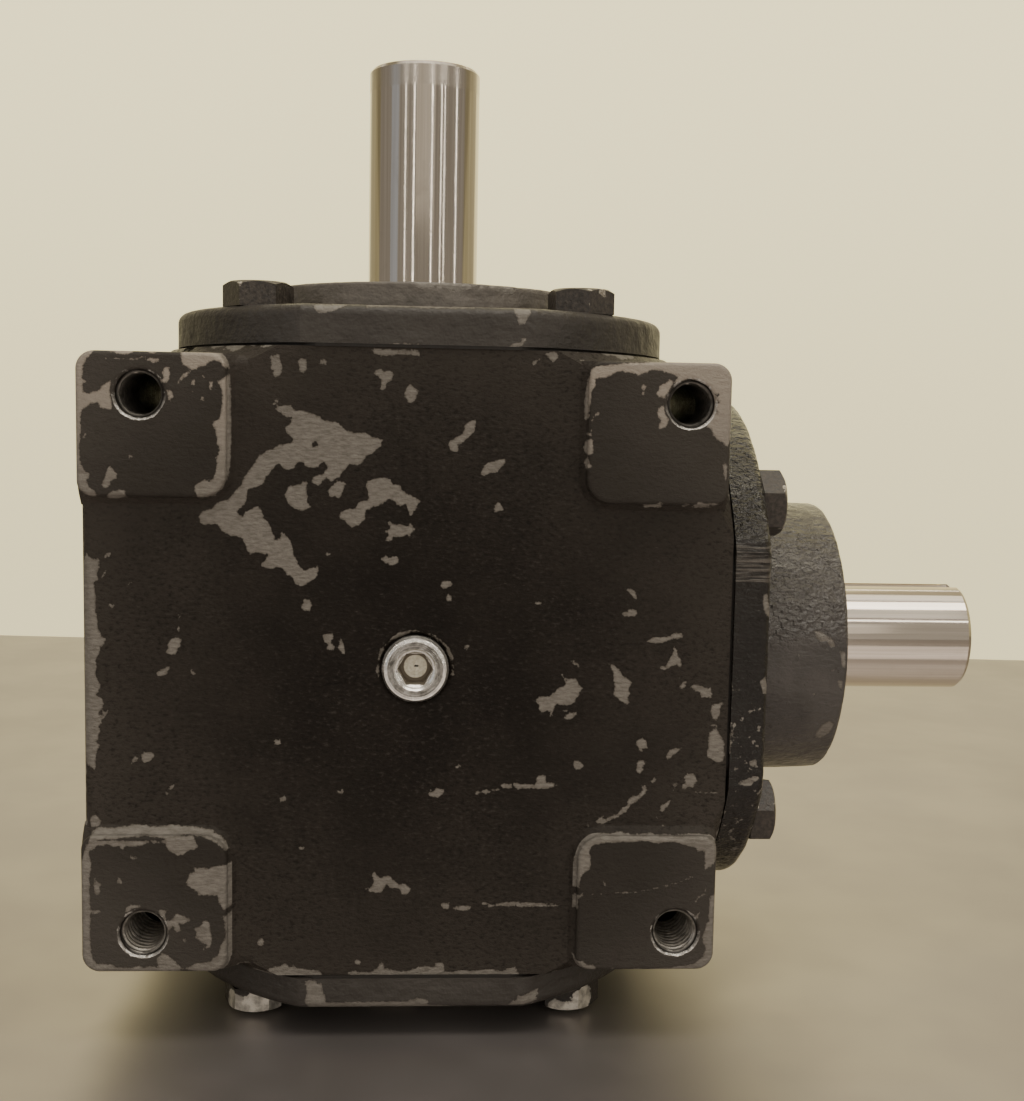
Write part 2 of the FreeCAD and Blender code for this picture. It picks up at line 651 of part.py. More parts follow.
def make_gear():
    tip, s, at, rv = cone_points(GEAR_T, PINION_T)
    low = at(rv - 2.6 * MODULE)
    blank = revolve([(GEAR_SEAT_R, GEAR_TOP), (22.4, GEAR_TOP), (tip[0] * s, tip[1] * s), tip, low,
                     (low[0] - 3.0, low[1] + 2.2), (22.5, low[1] + 3.4), (21.0, low[1] + 5.0),
                     (21.0, GEAR_BOTTOM), (GEAR_SEAT_R, GEAR_BOTTOM)], Z)
    gear = cut_teeth(blank, GEAR_T, PINION_T, 0.0)
    # the gear sits below the crossing: turn its apex side up
    gear.rotate(O, X, 180)
    keyway = box(-KEY_W / 2, KEY_W / 2, 0, GEAR_SEAT_R - 3.2 + 6.1, -GEAR_BOTTOM - 1, -GEAR_TOP + 1)
    return single(gear.cut([keyway]))


def make_pinion():
    tip, s, at, rv = cone_points(PINION_T, GEAR_T)
    low = at(rv - 2.1 * MODULE)
    blank = revolve([(PINION_SEAT_R, PINION_FRONT), (13.6, PINION_FRONT), (tip[0] * s, tip[1] * s), tip, low,
                     (low[0] - 0.6, PINION_BACK), (PINION_SEAT_R, PINION_BACK)], Z)
    # a tooth points straight down at the gear: spaces sit half a pitch away
    gear = cut_teeth(blank, PINION_T, GEAR_T, 180.0 / PINION_T)
    gear.rotate(O, Y, 90)
    keyway = box(20, 50, -2.5, 2.5, 0, PINION_SEAT_R + 2.3)
    return single(gear.cut([keyway]))


# ---------------------------------------------------------------------------
# Assembly
# ---------------------------------------------------------------------------

pieces = {}
pieces["housing"] = make_housing()
pieces["top_cap"] = make_top_cap()
pieces["bottom_cap"] = along(make_bottom_cap(), V(0, 0, -1))
pieces["side_cap"] = along(make_side_cap(), X)
shim = make_shim(SHIM_R, SHIM_FLAT)
pieces["top_shim"] = shim
pieces["bottom_shim"] = along(shim, V(0, 0, -1))
pieces["side_shim"] = along(make_shim(SIDE_SHIM_R, SIDE_SHIM_FLAT), X)
pieces["top_cap_bolts"] = make_bolts(TOP_FLANGE_T, [6, 22, 38, 14])
pieces["bottom_cap_bolts"] = along(make_bolts(BOTTOM_FLANGE_T, [12, 28, 4, 33]), V(0, 0, -1))
pieces["side_cap_bolts"] = along(make_bolts(SIDE_FLANGE_T, [10, 24, 17, 35]), X)
pieces["front_plug"] = make_plug(-1)
pieces["rear_plug"] = make_plug(1)

pieces["output_shaft"] = make_output_shaft()
pieces["output_gear"] = make_gear()
pieces["output_gear_key"] = make_gear_key()
pieces["output_gear_spacer"] = make_gear_spacer()
pieces["input_shaft"] = make_input_shaft()
pieces["input_pinion"] = make_pinion()
pieces["pinion_key"] = make_pinion_key()
pieces["pinion_spacer"] = make_pinion_spacer()
pieces["pinion_retaining_ring"] = make_retaining_ring()
pieces["input_lock_washer"] = make_lock_washer()
pieces["input_lock_nut"] = make_lock_nut()

brg = make_bearing()
for name, direction, back in (("upper_bearing", Z, OUT_BRG),
                              ("lower_bearing", V(0, 0, -1), OUT_BRG)):
    for part, shape in zip(("inner_ring", "outer_ring", "rollers", "cage"), brg):
        s = shape.copy()
        s.translate(V(0, 0, back))
        pieces[name + "_" + part] = along(s, direction)
# input bearings: wide ends of the inner rings face away from each other
for name, flip, back in (("pinion_bearing", False, IN_BRG_A), ("outer_bearing", True, IN_BRG_B)):
    for part, shape in zip(("inner_ring", "outer_ring", "rollers", "cage"), brg):
        s = shape.copy()
        if flip:
            s.rotate(O, Y, 180)
        s.translate(V(0, 0, back))
        pieces[name + "_" + part] = along(s, X)

top_seal_at = SEAT + SHIM_T + TOP_FLANGE_T + TOP_BOSS_H - 7.3
side_seal_at = SIDE_BOSS_END - 7.3
pieces["output_seal"] = make_seal(20.0, top_seal_at)
pieces["output_seal_spring"] = make_garter(top_seal_at)
pieces["input_seal"] = along(make_seal(25.14, side_seal_at), X)
pieces["input_seal_spring"] = along(make_garter(side_seal_at), X)

os.makedirs("parts", exist_ok=True)
for name, shape in pieces.items():
    s = shape.copy()
    s.translate(V(0, 0, AXIS_HEIGHT))
    bb = s.BoundBox
    print("%-28s solids %2d valid %s vol %9.1f  x %7.2f %7.2f  y %7.2f %7.2f  z %7.2f %7.2f"
          % (name, len(s.Solids), s.isValid(), s.Volume, bb.XMin, bb.XMax, bb.YMin, bb.YMax, bb.ZMin, bb.ZMax))
    s.exportStep("parts/%s.step" % name)
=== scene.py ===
import math
import bpy
import numpy as np
from mathutils import Matrix, Vector
from mathutils.geometry import delaunay_2d_cdt
from mathutils.kdtree import KDTree


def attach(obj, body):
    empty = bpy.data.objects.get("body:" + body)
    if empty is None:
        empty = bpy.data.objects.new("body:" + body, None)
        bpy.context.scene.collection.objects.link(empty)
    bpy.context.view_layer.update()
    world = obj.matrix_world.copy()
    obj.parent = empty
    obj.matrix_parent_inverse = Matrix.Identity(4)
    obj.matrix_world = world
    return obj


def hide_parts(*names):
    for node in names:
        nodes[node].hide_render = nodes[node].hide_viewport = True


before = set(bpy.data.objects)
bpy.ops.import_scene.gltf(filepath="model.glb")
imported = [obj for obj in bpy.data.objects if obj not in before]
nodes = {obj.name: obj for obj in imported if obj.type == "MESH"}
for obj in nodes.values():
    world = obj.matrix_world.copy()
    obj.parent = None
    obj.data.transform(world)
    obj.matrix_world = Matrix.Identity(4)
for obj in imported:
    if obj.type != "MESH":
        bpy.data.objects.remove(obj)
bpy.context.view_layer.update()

# ---------------------------------------------------------------------------
# Worn places, drawn as outlines in mm seen from the front: (x, z) from
# the crossing of the shaft axes.
# ---------------------------------------------------------------------------

BODY_CHIPS = [
    [(-28.5,52.2),(-27.8,52.9),(-25.5,53.1),(-24.7,51.9),(-23,52.2),(-20.4,51.1),(-18.4,50.1),(-16,49.8),(-14.9,48.6),(-13.2,47.9),(-10.3,47.7),(-9.1,47),(-7,46.6),(-7.5,45),(-8.9,43.8),(-10.2,43.2),(-11.6,41.3),(-13.7,41.4),(-14.7,40.2),(-15.5,39),(-17.3,38),(-18.3,38.7),(-19.3,37.5),(-20.3,37),(-21.2,37.8),(-20.9,38.9),(-18.8,39.4),(-18.1,41),(-18.8,41.9),(-20,40.8),(-21.6,40.6),(-22.5,40.9),(-22.8,41.7),(-24,41.6),(-24.5,40.6),(-25.9,40),(-26.9,40.5),(-27.7,41.4),(-28.6,40.8),(-29.6,39.4),(-30.6,38),(-30.7,37.4),(-32,36.6),(-33.4,36.3),(-34,35.4),(-34.2,33.5),(-34.9,32.8),(-35.9,31.9),(-35.9,30.9),(-34.9,30.5),(-34.6,31.4),(-32.7,32.5),(-31.8,32.7),(-30.6,30.9),(-31,30.3),(-29.9,29.7),(-29.4,28.4),(-28.6,26.8),(-28.5,25.8),(-27.5,26.1),(-27.1,27.9),(-26.2,26.7),(-25.3,25.8),(-24.8,24.2),(-24.8,22.8),(-24.1,22.2),(-23.7,20.9),(-22.7,19.9),(-21.3,20.3),(-19.8,20.8),(-19.9,18.7),(-21.3,17.6),(-23.4,16.6),(-24.4,17.1),(-24.9,18.3),(-26.1,19),(-26.7,19.9),(-27.9,20.5),(-29.2,20),(-31.4,20.7),(-30.5,21.9),(-29.9,23.1),(-32.3,23.4),(-33.4,22.9),(-34.2,24.1),(-34.4,25.2),(-35.1,26.2),(-37.2,26.7),(-38.9,27.4),(-40.1,28.9),(-43.1,28.9),(-43.9,30.4),(-43,31.5),(-40.9,32.2),(-40,33.4),(-37.8,34),(-36.5,35.5),(-35.4,36.9),(-34.2,39.2),(-32.9,40.8),(-31.7,42.8),(-30.3,43.9),(-28.8,44.3),(-27.9,45.1),(-25.5,45.5),(-24.8,46.3),(-26,47.4),(-26.7,48.8),(-25.2,49.7),(-25.2,50.5),(-26.9,50.9),(-27.8,51.7)],
    [(-25.7,36.9),(-23.4,37.3),(-22.8,37.9),(-22.1,37.7),(-22.2,35.8),(-21.9,34.9),(-22.1,33.9),(-21.3,32.8),(-22.7,31.9),(-24.8,32.4),(-26,33.6),(-26.6,35.2)],
    [(-16.4,37.8),(-15.9,38.1),(-14.2,37.8),(-14.8,36.6),(-15.2,35.2),(-16,34.5),(-16.7,35),(-17.6,35),(-18,36),(-17.2,36.9)],
    [(-10.4,37.7),(-9.2,38.6),(-6.6,39),(-5.4,38.6),(-5,37.6),(-3.5,37.6),(-3.2,36.4),(-1.1,35.2),(0.8,34.3),(-0.3,32.6),(-1.3,30.9),(-1.7,32.2),(-2.4,33.6),(-3.5,33.1),(-4.8,34.3),(-5.7,34.6),(-6.5,33.9),(-9.3,32.7),(-10.3,32.1),(-10.5,30.4),(-11.5,29.3),(-13.1,28.7),(-14.3,29.4),(-14.4,30.1),(-15.7,30.5),(-15.3,31.7),(-13.9,32.4),(-12.4,32.6),(-11.9,33.8),(-9.8,34.4),(-10,36.3)],
    [(-6,30.3),(-4.7,29.4),(-3.4,29.4),(-1.7,29.1),(-1.3,29.9),(-0.4,28.4),(-1.3,27.5),(-1.4,26.2),(-1.7,27.5),(-3.4,26.8),(-4.9,27.1),(-4.9,26.4),(-6.1,25.8),(-6.5,26.2),(-5.6,27.3),(-6.3,28),(-5.4,28.7)],
    [(-7.5,22.5),(-6.4,22.7),(-6.3,23.4),(-5.5,22.6),(-4,23.1),(-3.5,22.4),(-3.7,21.5),(-5.4,21),(-6.4,21.7)],
    [(-28.8,62.7),(-28.3,63.2),(-28,62.1),(-27.3,61.2),(-27,60.2),(-27.6,58.8),(-28.5,58.5),(-29,59.3),(-28.8,59.8),(-29.5,60.2),(-29.3,61.3)],
    [(-24,61.9),(-23.5,62.3),(-22.7,61.5),(-22.2,60.3),(-23.3,59.3),(-23.7,60.3)],
    [(-19.8,61.4),(-19.3,62.7),(-18.9,62.2),(-18,61.9),(-18.4,61.3)],
    [(-9,59.6),(-8.5,60.2),(-7.5,60.8),(-6.9,59.9),(-6.3,60.3),(-5.1,60.1),(-5.1,58.6),(-6.4,57.9),(-6.8,56.5),(-7.6,56.5),(-7.4,58),(-7.8,58.9)],
    [(-9.4,64.6),(-3.8,64.5),(-0.2,64.5),(-0.5,64.1),(-2.8,63.5),(-3.8,63.6),(-7.8,63.1),(-8.9,63.6)],
    [(-29.1,53),(-28.6,54),(-27.9,54.2),(-27.9,53.4),(-28.8,52.8)],
    [(-18.4,23.5),(-17.3,23.5),(-17.3,23.1),(-18.4,23)],
    [(-2.9,55.4),(-2.5,56.9),(-1.5,57.9),(-1.1,57),(-0.1,56.5),(-0.3,55.1),(-1.3,53.9),(-2.4,54),(-2.2,54.7)],
    [(9.2,48.6),(9.5,49.9),(10.5,50.7),(11.6,50.7),(11.5,48.8),(10.6,47.5),(9.5,46.7),(9,46.1),(8,45.9),(8.2,44.9),(7.7,44.2),(6.6,44.5),(6.3,45.6),(6.4,46.6),(7.8,47.3),(9,47.9)],
    [(12.9,40.6),(13.6,42.2),(15.9,42.6),(17.1,43.2),(17.7,43),(17.4,41.8),(16.6,41.1),(16.2,40.1),(14.5,40.2),(13.5,39.5),(12.8,39.8)],
    [(15.7,33.5),(16.4,34.4),(17.1,33.6),(17.6,32.5),(16.6,32.5),(15.5,32)],
    [(4.9,17.2),(5.1,18.1),(7.2,18),(7.2,17.1),(6.1,16.4),(4.9,16.7)],
    [(6.2,15.1),(6.7,15.5),(7.3,14.4),(7.3,13.8),(6.2,14)],
    [(22.6,62.3),(23,62.8),(24.3,63.3),(23.8,62.5),(22.6,61.8)],
    [(25.4,64.5),(26.6,64.7),(28,64.3),(27.8,63.4),(26.8,62.5),(26.4,63.5),(25.4,63.9)],
    [(-66,22.9),(-65,21.7),(-63.4,21.7),(-63.4,19.8),(-63.9,18.7),(-63.7,17.5),(-64.6,17),(-64.3,15.6),(-64.2,13.9),(-64.3,11.4),(-64,9.7),(-63.8,7.2),(-63.2,6.9),(-63,5.7),(-62.4,5.5),(-62.6,4.3),(-63.5,3.7),(-63.6,2.2),(-64.2,1.6),(-64.2,-0.5),(-64.4,-1.9),(-63.9,-3),(-63.4,-4),(-63.6,-5.1),(-64.3,-5.8),(-63.3,-6.7),(-62.8,-7.9),(-63.3,-9),(-63.8,-9.7),(-63.3,-10.7),(-63.2,-12),(-63.9,-12.3),(-63.4,-13.2),(-64.1,-14.3),(-63.8,-15.2),(-64.6,-15.5),(-63.8,-16.2),(-64.3,-17.5),(-64.5,-19.6),(-64.7,-21.4),(-65.3,-21.1),(-67.6,-19.7),(-67.9,-17.2),(-68,-12.5),(-68.1,-5.5),(-68.1,1.6),(-68.1,6.8),(-68.2,12.1),(-68,17.3),(-67.4,20.4)],
    [(-49,5.8),(-47.8,5.9),(-47.2,5.5),(-47.4,4.1),(-47.9,3.7),(-48.5,2.3),(-49.5,2.3),(-50.4,3),(-49.8,3.7),(-50,4.7)],
    [(-48.1,7.9),(-47.7,8.4),(-47.5,7.4),(-47.9,6.9)],
    [(-47.9,10.5),(-47.5,10.6),(-47.4,10.1),(-47.8,9.9)],
    [(-52.3,-1.5),(-51.7,-0.7),(-50.9,-0.7),(-50.2,-0.2),(-49.5,0.2),(-49.8,-0.7),(-50.5,-1.8),(-51.8,-2.3)],
    [(-45.5,-0.7),(-45,-0.5),(-44.4,-1.4),(-44.6,-1.9),(-45.2,-1.6)],
    [(-61.6,12.5),(-61.1,12.9),(-60.6,12.2),(-61.1,11.5),(-61.6,12)],
    [(-62.4,22.1),(-62.1,22.8),(-61.1,23),(-61.3,22.4),(-62.2,21.8)],
    [(-63.2,17.4),(-62.5,18.8),(-62.3,19.5),(-62.1,19.1),(-62.7,17.7)],
    [(-58.2,16.5),(-57.8,17.1),(-56.9,17),(-57.6,16.6),(-58,16.1)],
    [(-63.4,-10.7),(-63,-9.5),(-61.8,-9),(-61.8,-9.4),(-62.5,-10.2),(-63,-10.9)],
    [(-55.3,-19.4),(-55.4,-18.3),(-55,-17.6),(-53.8,-17.8),(-52.8,-18),(-52.9,-18.9),(-53.6,-19.6),(-54.8,-19.9)],
    [(-57.5,-20.3),(-57.3,-19.1),(-56.3,-18.5),(-56,-19.1),(-56.5,-19.8),(-57.2,-20.4)],
    [(-49.9,-25.3),(-49.6,-24.8),(-48.8,-24.3),(-48.9,-25),(-49.6,-25.5)],
    [(-28.9,-15.5),(-28.4,-15),(-27.4,-15),(-27.4,-16.1),(-28.4,-16.1)],
    [(-23,14.5),(-22.5,14.1),(-21.7,14),(-21.1,12.8),(-21.3,11.8),(-22.3,11.6),(-23.1,12),(-23.3,12.7),(-22.8,13)],
    [(-18.9,6.7),(-18.3,7),(-16.9,7),(-16.6,6.4),(-17,5.7),(-16.9,4.8),(-16.4,4.1),(-16.6,3.6),(-17.9,3.5),(-18.1,4.1),(-17.7,4.6),(-18.1,5.1),(-18.7,5.5)],
    [(-15.4,6),(-15,6.2),(-14.6,4.8),(-14.3,3.4),(-14.6,2.6),(-15.2,3.2),(-15.8,4.1),(-15.5,4.8)],
    [(4.9,17.2),(5.3,18.1),(7.4,18),(7.2,17.1),(5.9,16.4),(4.9,16.8)],
    [(6.1,14.8),(6.8,15.1),(7.3,13.9),(6.8,13.8)],
    [(9.9,4.7),(10.8,5.2),(11.1,4.5),(10.5,3.9),(9.9,4)],
    [(8.3,-20.9),(9.1,-20),(10,-20.5),(9.2,-20.8)],
    [(24,13.8),(24.6,14.1),(25.5,13.9),(25.5,13.5),(24.4,13.4)],
    [(43.1,16.7),(43.6,17),(44.9,16.3),(45.1,15.4),(45.5,14.7),(44.6,15),(43.8,15.9)],
    [(42.4,11.1),(42.3,11.9),(43.4,12),(43.6,12.6),(45,12.7),(45.5,12),(45.2,11.3),(43.4,11.1)],
    [(47.4,6.1),(48.9,6.8),(50.7,7),(52.5,7.2),(53.2,7.8),(54.6,7.7),(55.4,7.3),(54.4,6.6),(52.8,6.5),(51.1,5.8),(49.3,5.5)],
    [(53.2,5.3),(53.8,4.2),(54,3.1),(54.8,2.2),(54.8,0.2),(54.1,1.3),(53,0.9),(51.9,0.4),(51.8,1.5),(52.6,2.9),(53.1,4)],
    [(50.2,0.7),(50.9,1),(51.8,0.8),(51.6,0.2),(50.7,0.1)],
    [(24.7,-6.5),(25.8,-5.6),(27.6,-5.7),(29,-4.3),(30.1,-3.6),(31,-3.2),(30.8,-2.5),(30,-1),(31.3,-1.9),(32.7,-1.9),(33.6,-2.6),(33.7,-3.5),(34.6,-3.8),(33.9,-4.8),(33.5,-5.5),(32.9,-7),(31.8,-7.4),(29.4,-7.3),(28.7,-7.5),(28.6,-8.8),(26.8,-8.6),(26.1,-9.1),(25.6,-8.5),(25.5,-7.4)],
    [(31.4,1.7),(32.3,2),(33.5,1.3),(34,0.8),(33.5,0.3),(33,1),(32.1,1.3)],
    [(27.6,-9.2),(28.2,-8.7),(28.5,-9.5),(28.1,-9.9)],
    [(30.8,-10),(31.6,-9.1),(33.4,-8.9),(33.2,-9.7),(32,-10.4),(30.9,-10.2)],
    [(30.5,-8.4),(31.5,-8.3),(31.4,-8.9),(30.7,-8.9)],
    [(39.7,1.4),(40.7,1.2),(41.9,0.1),(42.7,-1.1),(43.8,-1.8),(44.8,-2.6),(44.2,-3.6),(44,-4.5),(44.5,-5.1),(43.9,-5.6),(44.3,-7),(43.7,-7.3),(42.3,-6.4),(41,-5.3),(40.8,-4.6),(41.1,-3.7),(40.9,-2.2),(40.7,-0.4),(40.1,0.7)],
    [(45.8,-15.6),(45.9,-14.7),(47.2,-14.3),(48.1,-15),(48.3,-16.3),(47.4,-16.5),(47.2,-17.1),(46.4,-17.1),(46.4,-16.1)],
    [(46.1,-19.6),(46.8,-18.9),(48,-18.9),(48.1,-19.8),(47.3,-20.3),(47.5,-21),(46.8,-21.9),(45.9,-21.4),(46.3,-20.5)],
    [(32.8,-19.6),(33.5,-19),(34.5,-19.4),(35.2,-20),(34.9,-20.8),(33.3,-21)],
    [(52.3,-18.1),(53,-16.8),(54.1,-16.3),(55.5,-16.4),(54.5,-17.4),(52.9,-18.5),(52.2,-18.7)],
    [(49,-23.4),(49.6,-22.6),(50.5,-22.6),(50.4,-23),(49.6,-23.8)],
    [(55.8,-24.9),(55.9,-24.1),(56.5,-23.8),(56.2,-22.5),(56.6,-21.7),(58.4,-21.9),(58.9,-23.4),(58.1,-24.7),(57,-24.6),(56.5,-25.1)],
    [(53.8,-25.1),(53.9,-24.1),(54.7,-23.7),(55,-24.1),(54.3,-24.9),(54,-25.5)],
    [(37.8,-32.1),(38.8,-31),(39.7,-30.8),(39.5,-31.7),(40.9,-30.8),(42.4,-30.4),(43.4,-29.1),(44.5,-28.6),(44.5,-27.3),(45.7,-26.5),(46.6,-26.4),(47.5,-25.4),(47.3,-24.2),(48,-24.3),(48.6,-25.4),(47.7,-26.5),(46.6,-27.5),(45.2,-28.4),(44.2,-29.9),(42.6,-31),(41.3,-31.5),(40.3,-32.1),(39.5,-32.5),(38.5,-32.6)],
    [(51.2,-29.7),(51.5,-28.6),(52.6,-28),(53.4,-27.3),(53.2,-28.5),(52.3,-29.3),(51.8,-29.9)],
    [(18,-24.6),(18.2,-24.1),(20.2,-24.1),(20.5,-24.4),(20.7,-23.7),(22.1,-24.1),(24.8,-24),(25.7,-23.7),(25,-22.8),(26.4,-22.2),(27.3,-22.2),(27.3,-23.7),(29.1,-23.9),(29.6,-24.4),(28.2,-25),(26.8,-25.1),(24.3,-25),(21.6,-25.2),(20.7,-24.7),(19.6,-25),(18.4,-25)],
    [(15.7,-25.5),(17.8,-25),(17.9,-25.3),(15.7,-25.9)],
    [(54.5,-3.7),(54.9,-3),(55.8,-2.1),(56.2,-2.3),(55.8,-3.4),(55,-4.1)],
    [(54.3,-1.6),(55,-1),(54.9,-1.7)],
    [(56.7,-3.5),(57.4,-2.8),(58.3,-3),(59.6,-3.3),(60.5,-3.8),(61.2,-3.5),(61.5,-4.8),(61.3,-5.7),(60.2,-5.7),(59.3,-5.5),(58.7,-4.4),(57.8,-4.1)],
    [(61.4,-7.5),(62.3,-6.9),(63.5,-6.6),(64.2,-6.5),(63.5,-7.3),(63.2,-8.2),(63.1,-9.5),(62.6,-10.6),(61.8,-10.2),(61.4,-8.8)],
    [(61.4,-11.5),(62,-11.1),(62.7,-11.6),(62.1,-11.9)],
    [(61,-13.3),(61.7,-12.4),(62.8,-12.1),(63,-13.1),(63.8,-14),(64.3,-14.8),(64.4,-19),(63.4,-19.5),(62.3,-19),(61,-18.2),(60.7,-17.3),(61.1,-16.2),(61.1,-14.8)],
    [(58.7,-25.7),(63.6,-25.6),(63.6,-25.9),(58.7,-25.9)],
    [(50.5,-31.1),(50.9,-31.1),(51,-31.5),(50.6,-31.6)],
    [(51.8,-32.5),(52.3,-32.6),(52.2,-33),(51.8,-33)],
    [(35.8,-33.5),(36.3,-32.1),(36.6,-33)],
    [(-16.1,-26.2),(-15.7,-25.5),(-15,-25.8),(-14.7,-25),(-14.3,-25.8),(-14.9,-26.3),(-15.4,-26.1)],
    [(2.9,-26.6),(3.3,-25.2),(3.8,-25.9),(4.7,-25),(6.1,-25.4),(6.2,-26.1),(4.9,-27),(3.2,-26.8)],
    [(12.6,-25.7),(13.4,-25.4),(13.8,-26.1),(12.9,-26.4)],
    [(13.9,-25.7),(14.8,-25.1),(15.7,-25.7),(15.2,-26.2),(14.1,-26.1)],
    [(-27.4,-27.1),(-26.5,-26.7),(-26.1,-27.3),(-26.7,-28.1),(-27.4,-28.2)],
    [(-23.6,-37.6),(-22.6,-37.4),(-22.3,-37.7),(-23,-38.3)],
    [(-9.8,-46.4),(-8.4,-46),(-8.1,-44.8),(-8.5,-43.4),(-7.9,-42.7),(-7.2,-43.7),(-6.6,-44.1),(-4.8,-43.5),(-3.8,-44.8),(-2.8,-45.5),(-1.6,-45.3),(-0.2,-46.2),(-0.7,-47.3),(-1.4,-47.7),(-2.2,-47.4),(-2.8,-46.4),(-3.8,-46.2),(-4.6,-46.5),(-5.3,-45.5),(-6.5,-47.1),(-7.6,-47.3),(-8.9,-47.1)],
    [(5.7,-49.7),(6.7,-49.4),(7.4,-49.2),(7.9,-50.1),(7.3,-50.8),(6.4,-50.6)],
    [(8.3,-50.3),(10.4,-49.9),(11.9,-50),(12.4,-50.7),(10.7,-51.2),(9,-50.9)],
    [(14.3,-49.4),(15,-49.3),(16.1,-49.8),(18.2,-49.5),(21,-49.2),(26.5,-49.5),(30.1,-49.7),(31.4,-49.9),(30,-50.2),(22.4,-50.3),(18.2,-50.1),(16.6,-50.2),(16.1,-50.7),(15.6,-49.9),(14.5,-49.9)],
    [(-29.4,-63.2),(-27.3,-63),(-26.3,-62.3),(-24.9,-63.2),(-24.6,-62.5),(-23.7,-63.4),(-22.2,-63.6),(-19.3,-63.8),(-18.6,-64.8),(-19.1,-65.7),(-27.3,-65.6),(-30.4,-65.3)],
    [(-12.2,-62.2),(-11.7,-61.5),(-10.9,-61.8),(-10.5,-62.6),(-11.7,-62.6)],
    [(-13.6,-64),(-11.2,-64.1),(-8.6,-64.2),(-6.9,-63.3),(-6.4,-62.2),(-5.7,-62.6),(-5.7,-63.5),(-4,-63.8),(-1.2,-64.2),(0.7,-63.5),(1.9,-63.1),(4.7,-63.2),(5.2,-62.3),(6.7,-62.3),(6.8,-64.2),(8.8,-64.3),(9.9,-63.9),(12.3,-64.1),(13.7,-63.9),(16.5,-63.7),(18.5,-64.2),(20.2,-63.6),(21.9,-63.2),(22.2,-64.7),(24.2,-65.2),(27.2,-65.9),(18.5,-65.9),(7.1,-65.8),(1.9,-65.7),(-10.1,-65.4),(-12.6,-65.2)],
    [(-66,-32.5),(-65.7,-31.3),(-64.5,-30.8),(-63.5,-32.2),(-63.7,-33.2),(-65.5,-33.3)],
    [(-49.8,-25.6),(-49.6,-24.7),(-48.8,-24.4),(-48.8,-25.1),(-49.4,-25.6)],
    [(-50.7,-26.6),(-50.5,-25.9),(-50,-25.8),(-50.1,-26.6)],
    [(-32,-58),(-31.7,-57),(-30.6,-57),(-30.6,-58.2),(-31.3,-58.7)],
    [(58.5,-25.5),(63.6,-25.9),(63.6,-26),(58.5,-25.7)],
    [(-9.3,64.4),(-5.2,64.5),(0.2,64.1),(0.2,63.4),(-5.2,63.6),(-9,63.5)],
    [(-29.5,62.7),(-27.6,63.1),(-27.3,60.6),(-29.2,59.9)],
    [(-24.1,62.1),(-22.4,62.3),(-22.2,60.4),(-23.8,60)],
    [(25.1,64.4),(27.8,64.8),(27.8,63.5),(26.8,62.7)],
    [(-65.2,-33.9),(-63.6,-33.2),(-60.4,-33.4),(-57.2,-32.8),(-52.8,-33.1),(-48.2,-32.8),(-44.4,-33.2),(-41.2,-33.7),(-38.8,-35.2),(-37.6,-37.4),(-38.2,-37.8),(-39.6,-35.9),(-42.6,-34.6),(-46.2,-34.4),(-49.8,-34.9),(-54.6,-34.5),(-59.2,-34.9),(-63.2,-35.1),(-65.6,-36.2)],
]

